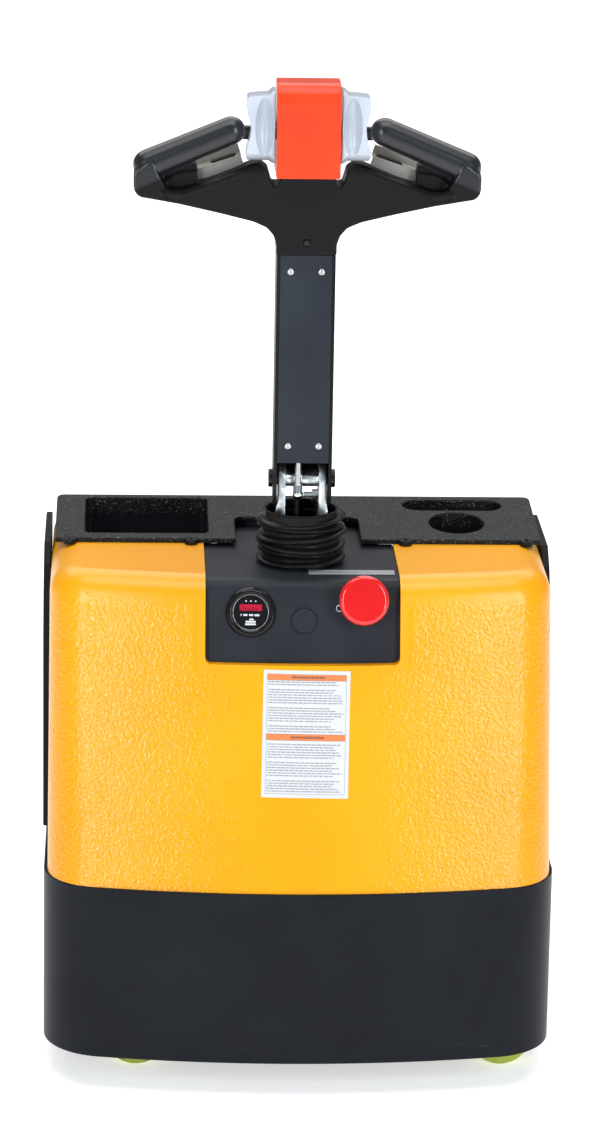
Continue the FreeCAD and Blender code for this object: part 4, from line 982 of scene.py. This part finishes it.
def boot_tree(sizes):
    tree = bpy.data.node_groups.new("bellows_rule", "GeometryNodeTree")
    add_inputs(tree, sizes)
    tree.interface.new_socket("Mesh", in_out="OUTPUT", socket_type="NodeSocketGeometry")
    g = Net(tree)
    entry = tree.nodes.new("NodeGroupInput")
    size = {name: Wire(g, entry.outputs[name]) for name in sizes}
    grid = g.add("GeometryNodeMeshGrid", {},
                 {"Size X": 1.0, "Size Y": 1.0, "Vertices X": AROUND + 1, "Vertices Y": UP})
    x, y, z = g.split(g.add("GeometryNodeInputPosition"))
    angle = (x + 0.5) * math.tau
    height = y + 0.5
    cosine, sine = angle.maths("COSINE"), angle.maths("SINE")
    part = (height / size["Collar"]).maths("MINIMUM", 1.0) * size["Folds"]
    fold = part.maths("FLOOR")
    chance = g.add("ShaderNodeTexWhiteNoise", {"noise_dimensions": "1D"}, {"W": fold}, "Value")
    chance_two = g.add("ShaderNodeTexWhiteNoise", {"noise_dimensions": "1D"}, {"W": fold + 41.0}, "Value")
    ridge = ((part - fold) * math.pi).maths("SINE").maths("ABSOLUTE") ** 0.95
    wobble = g.add("ShaderNodeTexNoise", {},
                   {"Vector": g.vector(cosine, sine, fold * 0.7), "Scale": 1.3, "Detail": 1.0})
    peak = size["Peak"] + (chance - 0.5) * 0.0030 + (wobble - 0.5) * 0.0050
    folded = size["Valley"] + (peak - size["Valley"]) * ridge
    in_collar = height.steps(size["Collar"] - 0.01, size["Collar"] + 0.01)
    lip = height.steps(0.965, 0.99) * 0.0012
    radius = folded * (1 - in_collar) + (size["Rim"] + lip) * in_collar
    seam = (angle - size["Seam"]).maths("ABSOLUTE")
    radius = radius + (1 - seam.steps(0.015, 0.045)) * 0.0010
    lean_way = (angle + chance_two * math.tau).maths("SINE")
    slant = lean_way * size["Slant"] * (1 - in_collar) * (part * 0.7).maths("MINIMUM", 1.0)
    rise = size["Base"] + height * size["Height"] + slant
    placed = g.add("GeometryNodeSetPosition", {}, {"Geometry": Wire(g, grid.socket), "Position": g.vector(
        cosine * radius, sine * radius + steer_y, rise)})
    closed = g.add("GeometryNodeMergeByDistance", {}, {"Geometry": placed, "Distance": 1e-5})
    smooth = g.add("GeometryNodeSetShadeSmooth", {}, {"Geometry": closed})
    real = g.add("GeometryNodeRealizeInstances", {}, {"Geometry": smooth})
    done = g.add("GeometryNodeSetMaterial", {}, {"Geometry": real, "Material": finishes["boot_rubber"]})
    leave = tree.nodes.new("NodeGroupOutput")
    tree.links.new(done.socket, leave.inputs[0])
    return tree


# %% Boot
boot_sizes = {"Base": BOOT_BASE, "Height": boot_high.z - BOOT_BASE, "Folds": BOOT_FOLDS, "Collar": 0.84,
              "Valley": 0.0455, "Peak": 0.0540, "Rim": 0.0438, "Seam": 4.45, "Slant": 0.0036}
boot = bpy.data.objects.new("rubber_boot", bpy.data.meshes.new("rubber_boot"))
scene.collection.objects.link(boot)
grow(boot, "bellows", boot_tree(boot_sizes), boot_sizes)
settle(boot)
wall = boot.modifiers.new("wall", "SOLIDIFY")
wall.thickness = 0.0022
wall.offset = -1.0
settle(boot)
boot.data.shade_smooth()
give(boot, "steering", "boot_rubber", "steering_boot")
print("boot faces", len(boot.data.polygons))

# %% [markdown]
# ## The stop button
# The emergency stop is a glossy mushroom: a shallow dome, a tight round rim and a flat back on a thin
# stem, so that it can be pressed without meeting its collar. A lathe profile with arcs gives clean
# reflections round the rim.

# %% Stop button
STOP_RADIUS = 0.0300
RIM_ROUND = 0.0060
RIM_BACK = 0.0160
FACE_HEIGHT = 0.0310
DOME_DROP = 0.0012
STOP_STEM = 0.0078


def stop_profile():
    points = [(0.0, FACE_HEIGHT)]
    dome_edge = STOP_RADIUS - RIM_ROUND
    points += [(dome_edge * k / 8, FACE_HEIGHT - DOME_DROP * (k / 8) ** 2) for k in range(1, 9)]
    for k in range(1, 13):
        bend = math.pi / 2 * k / 12
        fall = DOME_DROP + RIM_ROUND * (1 - math.cos(bend))
        points.append((dome_edge + RIM_ROUND * math.sin(bend), FACE_HEIGHT - fall))
    points += [(STOP_RADIUS, 0.0190), (STOP_RADIUS - 0.0006, 0.0170), (STOP_RADIUS - 0.002, RIM_BACK)]
    points += [(0.0220, RIM_BACK - 0.0006), (STOP_STEM, 0.0150), (STOP_STEM, -0.0200), (0.0, -0.0200)]
    return points


stop_cap = lathe("stop_mushroom", stop_profile(), "red_gloss", stop_seat, 96)
give(stop_cap, "emergency_stop", "red_gloss", "stop_button")

MARK_RING = [(0.0030, 0.0002), (0.0042, 0.0003), (0.0043, 0.0), (0.0029, 0.0), (0.0030, 0.0002)]
# painted shade: a thin raised black ring round the blank plug's edge stands for the shade in the gap round the
# plug
PLUG_SHADE_PROFILE = [(0.0149, 0.0), (0.0149, 0.0009), (0.0153, 0.0013), (0.0158, 0.0009), (0.0158, 0.0), (0.0149, 0.0)]
mark = lathe("stop_symbol", MARK_RING, "satin_steel", panel_seat(0.0438, 0.5854), 32)
give(mark, "chassis", "satin_steel")
plug_shade = lathe("plug_shade_ring", PLUG_SHADE_PROFILE, "black_plastic", panel_seat(0.0015, 0.571), 64)
give(plug_shade, "chassis", "black_plastic")
print("stop button made")

# %% [markdown]
# ## The battery gauge
# The gauge has a stepped black bezel, a thin bright ring, a dark face with a red display, three small
# lamps, and a few plain marks. The marks are raised by a hair so that they read as print.

# %% Gauge bezel and ring
BEZEL = [(0.0215, 0.0), (0.0215, 0.0034), (0.0226, 0.0046), (0.0242, 0.0052), (0.0246, 0.0060), (0.0262, 0.0062),
         (0.0275, 0.0052), (0.0292, 0.0034), (0.0300, 0.0020), (0.0300, 0.0)]
bezel = sharpened(lathe("gauge_surround", BEZEL + [BEZEL[0]], "gloss_black", gauge_seat, 96))
give(bezel, "chassis", "gloss_black", "gauge_bezel")

ring = lathe("gauge_bright_ring", [(0.0209, 0.0030), (0.0209, 0.0040), (0.0213, 0.0044), (0.0216, 0.0040),
                                   (0.0216, 0.0030), (0.0209, 0.0030)], "satin_steel", gauge_seat, 96)
give(ring, "chassis", "satin_steel")

# %% Gauge face marks
FACE = 0.0031
glow = Finish("display_red")
stripe = glow.split(glow.place)[2] * 900.0
segments = glow.grain(0.0014, 1.0).steps(0.42, 0.58)
finishes["display_red"] = glow.done(
    colour=glow.tint(segments * 0.6, (0.25, 0.004, 0.018), (0.42, 0.010, 0.035)),
    glow=glow.tint(stripe.maths("SINE").steps(-0.2, 0.4), (0.20, 0.002, 0.015), (0.34, 0.006, 0.03)),
    glow_strength=0.6, rough=0.25)
finishes["print_white"] = moulded("print_white", (0.62, 0.66, 0.68), 0.5)


def tablet(name, x, z, wide, high, finish, corner=0.0006, lift=0.00025):
    """A thin rounded tablet on the gauge face."""
    points = []
    for turn_, (sx, sz) in enumerate(((1, 1), (-1, 1), (-1, -1), (1, -1))):
        for k in range(4):
            angle = math.pi / 2 * (turn_ + k / 3)
            corner_x, corner_z = x + sx * (wide / 2 - corner), z + sz * (high / 2 - corner)
            points.append((corner_x + corner * math.cos(angle), corner_z + corner * math.sin(angle)))
    count = len(points)
    solid = [(px, -FACE - lift * level_, pz) for level_ in (0, 1) for px, pz in points]
    faces = [tuple(range(count)), tuple(range(2 * count - 1, count - 1, -1))]
    faces += [(k, (k + 1) % count, count + (k + 1) % count, count + k) for k in range(count)]
    piece = add_mesh(name, solid, faces, finish, gauge_seat)
    sharpened(piece)
    give(piece, "chassis", "dial_face")
    return piece


tablet("gauge_display", 0.0, 0.0058, 0.0270, 0.0078, "display_red", 0.0014)
for number, place in enumerate((-0.0058, 0.0, 0.0058)):
    tablet(f"gauge_lamp_{number}", place, 0.0135, 0.0020, 0.0016, "print_white", 0.0006)
SCALE_MARKS = ((-0.0115, 0.0012), (-0.0065, 0.0050), (0.0005, 0.0050), (0.0075, 0.0060))
for number, (place, wide) in enumerate(SCALE_MARKS):
    tablet(f"gauge_scale_{number}", place, -0.0032, wide, 0.0024 if number else 0.0030, "print_white", 0.0004)
SYMBOL_MARKS = ((-0.0085, 0.0050, 0.0010), (-0.0112, 0.0120, 0.0), (-0.0142, 0.0128, 0.0))
for number, (high, wide, across) in enumerate(SYMBOL_MARKS):
    tablet(f"gauge_symbol_{number}", across, high, wide, 0.0022, "print_white", 0.0004)
print("gauge dressed")

# %% [markdown]
# ## The label sheets
# The instruction label was stuck on by hand, so it is turned by about a degree. It bends with the bowed
# cover, so it is a fine grid whose depth comes from the cover's own curve, and then it gets a thickness.

# %% Label sheets
FILM = 0.0003


def cover_face(x, z):
    rise = (z - bumper_top) / (cover_top - bumper_top)
    return front_y + COVER_STEP + COVER_LEAN * rise + x * x / 2 / BOW_RADIUS


def sheet_grid(columns, rows, spot):
    """Points and faces of a grid whose points come from spot(u, v), with u and v from -0.5 to 0.5."""
    points = [spot(c / columns - 0.5, r / rows - 0.5) for r in range(rows + 1) for c in range(columns + 1)]
    wide = columns + 1
    faces = [(r * wide + c, r * wide + c + 1, (r + 1) * wide + c + 1, (r + 1) * wide + c)
             for r in range(rows) for c in range(columns)]
    return points, faces


def label_spot(u, v):
    across, along = u * (SHEET_RIGHT - SHEET_LEFT), v * (SHEET_HIGH - SHEET_LOW)
    x = (SHEET_LEFT + SHEET_RIGHT) / 2 + across * math.cos(SHEET_TILT) + along * math.sin(SHEET_TILT)
    z = (SHEET_LOW + SHEET_HIGH) / 2 - across * math.sin(SHEET_TILT) + along * math.cos(SHEET_TILT)
    return x, cover_face(x, z) - 0.0001, z


def strip_spot(u, v):
    return 0.060 + u * 0.104, STRIP_MIDDLE + v * 0.019, label_high.z - 0.0004 + FILM + 0.0001


for name, size, spot in (("instruction_label", (16, 16), label_spot), ("strip_label", (8, 2), strip_spot)):
    points, faces = sheet_grid(*size, spot)
    film_piece = add_mesh(name, points, faces, "label_white")
    thick = film_piece.modifiers.new("film", "SOLIDIFY")
    thick.thickness = FILM
    outward = film_piece.data.polygons[0].normal
    thick.offset = 1.0 if outward.y < -0.5 or outward.z > 0.5 else -1.0
    settle(film_piece)
    sharpened(film_piece)
    give(film_piece, "chassis", "label_white")
    if name == "instruction_label":
        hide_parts("labels")
print("labels laid")

# %% [markdown]
# ## Screws
# The arm cover is held by four pan-head screws with a six-sided socket. They are all alike and stand on a
# regular pattern, so a small Geometry Nodes tree cuts one head and sets it on a grid of points.

# %% Screw tree
arm_low, arm_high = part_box("arm_cover")
screw_rows = (arm_low.z + 0.021, arm_high.z - 0.020)
screw_sizes = {"Head radius": 0.0042, "Head height": 0.0020, "Socket radius": 0.0022, "Across": 0.0370,
               "Along": screw_rows[1] - screw_rows[0]}


def screw_tree(sizes):
    tree = bpy.data.node_groups.new("pan_head_screws", "GeometryNodeTree")
    add_inputs(tree, sizes)
    tree.interface.new_socket("Mesh", in_out="OUTPUT", socket_type="NodeSocketGeometry")
    g = Net(tree)
    entry = tree.nodes.new("NodeGroupInput")
    size = {name: Wire(g, entry.outputs[name]) for name in sizes}
    ball = g.add("GeometryNodeMeshUVSphere", {}, {"Segments": 32, "Rings": 16, "Radius": size["Head radius"]})
    squash_ = size["Head height"] / size["Head radius"]
    pan = g.add("GeometryNodeTransform", {}, {"Geometry": ball, "Scale": g.vector(1.0, 1.0, squash_)})
    socket = g.add("GeometryNodeMeshCylinder", {}, {"Vertices": 6, "Radius": size["Socket radius"],
                                                    "Depth": size["Head height"] * 1.2})
    sunk = g.add("GeometryNodeTransform", {},
                 {"Geometry": socket, "Translation": g.vector(0.0, 0.0, size["Head height"])})
    head_ = g.add("GeometryNodeMeshBoolean", {"operation": "DIFFERENCE"}, {"Mesh 1": pan, "Mesh 2": sunk})
    grid = g.add("GeometryNodeMeshGrid", {},
                 {"Size X": size["Across"], "Size Y": size["Along"], "Vertices X": 2, "Vertices Y": 2})
    spots = g.add("GeometryNodeInstanceOnPoints", {}, {"Points": grid, "Instance": head_})
    real = g.add("GeometryNodeRealizeInstances", {}, {"Geometry": spots})
    smooth = g.add("GeometryNodeSetShadeSmooth", {}, {"Geometry": real})
    done = g.add("GeometryNodeSetMaterial", {}, {"Geometry": smooth, "Material": finishes["satin_steel"]})
    tree.links.new(done.socket, tree.nodes.new("NodeGroupOutput").inputs[0])
    return tree


# %% Screws
screw_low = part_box("arm_screws")[0]
screws = bpy.data.objects.new("cover_screws", bpy.data.meshes.new("cover_screws"))
scene.collection.objects.link(screws)
grow(screws, "screws", screw_tree(screw_sizes), screw_sizes)
settle(screws)
screws_z = sum(screw_rows) / 2
screws.data.transform(Matrix.Translation((0.0, arm_low.y, screws_z)) @ Matrix.Rotation(math.pi / 2, 4, "X"))
sharpened(screws, 40)
give(screws, "tiller", "satin_steel")

neck_screw = lathe("neck_screw", [(0.0, 0.0), (0.0016, 0.0), (0.0018, 0.0012), (0.0030, 0.0012), (0.0036, 0.0006),
                                  (0.0036, -0.004), (0.0, -0.004)], "black_steel",
                   Matrix.Translation((0.0, screw_low.y + 0.0012, 1.016)), 24)
give(neck_screw, "tiller", "black_steel")
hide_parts("arm_screws")
print("screws made")

# %% [markdown]
# ## The control cable
# The cable climbs out of the column, bends behind the pivot tube and runs up inside the arm. It is held
# all the way, so it is one smooth tube here.

# %% Control cable
cable_low, cable_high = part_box("column_cable")
arm_cable_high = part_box("arm_cable")[1]
CABLE_RADIUS = 0.0035
pivot_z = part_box("pivot_bolts")[0].lerp(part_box("pivot_bolts")[1], 0.5).z
cable_x = (cable_low.x + cable_high.x) / 2
low_y, high_y = cable_low.y + CABLE_RADIUS, arm_cable_high.y - CABLE_RADIUS
route = [(cable_x, low_y, cable_low.z), (cable_x, low_y, pivot_z - 0.060),
         (cable_x, low_y + 0.002, pivot_z - 0.038), (cable_x, high_y - 0.003, pivot_z - 0.014),
         (cable_x, high_y, pivot_z + 0.004), (cable_x, high_y, pivot_z + 0.040),
         (cable_x, high_y, arm_cable_high.z)]
line = bpy.data.curves.new("control_cable", "CURVE")
line.dimensions = "3D"
line.bevel_depth = CABLE_RADIUS
line.bevel_resolution = 4
line.resolution_u = 10
line.use_fill_caps = True
spline = line.splines.new("NURBS")
spline.points.add(len(route) - 1)
for point, spot in zip(spline.points, route):
    point.co = (*spot, 1.0)
spline.order_u = 3
spline.use_endpoint_u = True
loose = bpy.data.objects.new("control_cable_line", line)
scene.collection.objects.link(loose)
bpy.context.view_layer.update()
tube = bpy.data.meshes.new_from_object(loose.evaluated_get(bpy.context.evaluated_depsgraph_get()))
bpy.data.objects.remove(loose)
tube.materials.clear()
tube.materials.append(finishes["cable_black"])
tube.shade_smooth()
cable = bpy.data.objects.new("control_cable", tube)
scene.collection.objects.link(cable)
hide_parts("column_cable", "arm_cable")
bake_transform(cable)
print("cable points", len(route))

# %% [markdown]
# ## The floor, and the end
# A wide pale floor carries the truck.

# %% Floor
floor_mesh = bpy.data.meshes.new("floor")
FLOOR = 30.0
floor_corners = [(-FLOOR, -FLOOR, 0), (FLOOR, -FLOOR, 0), (FLOOR, FLOOR, 0), (-FLOOR, FLOOR, 0)]
floor_mesh.from_pydata(floor_corners, [], [(0, 1, 2, 3)])
floor = bpy.data.objects.new("floor", floor_mesh)
scene.collection.objects.link(floor)
pale = Finish("pale_floor")
pale_paper = pale.done(colour=(0.86, 0.86, 0.865), rough=0.9, gloss=0.1, glow=(1.0, 1.0, 1.0), glow_strength=0.55)
floor_mesh.materials.append(pale_paper)
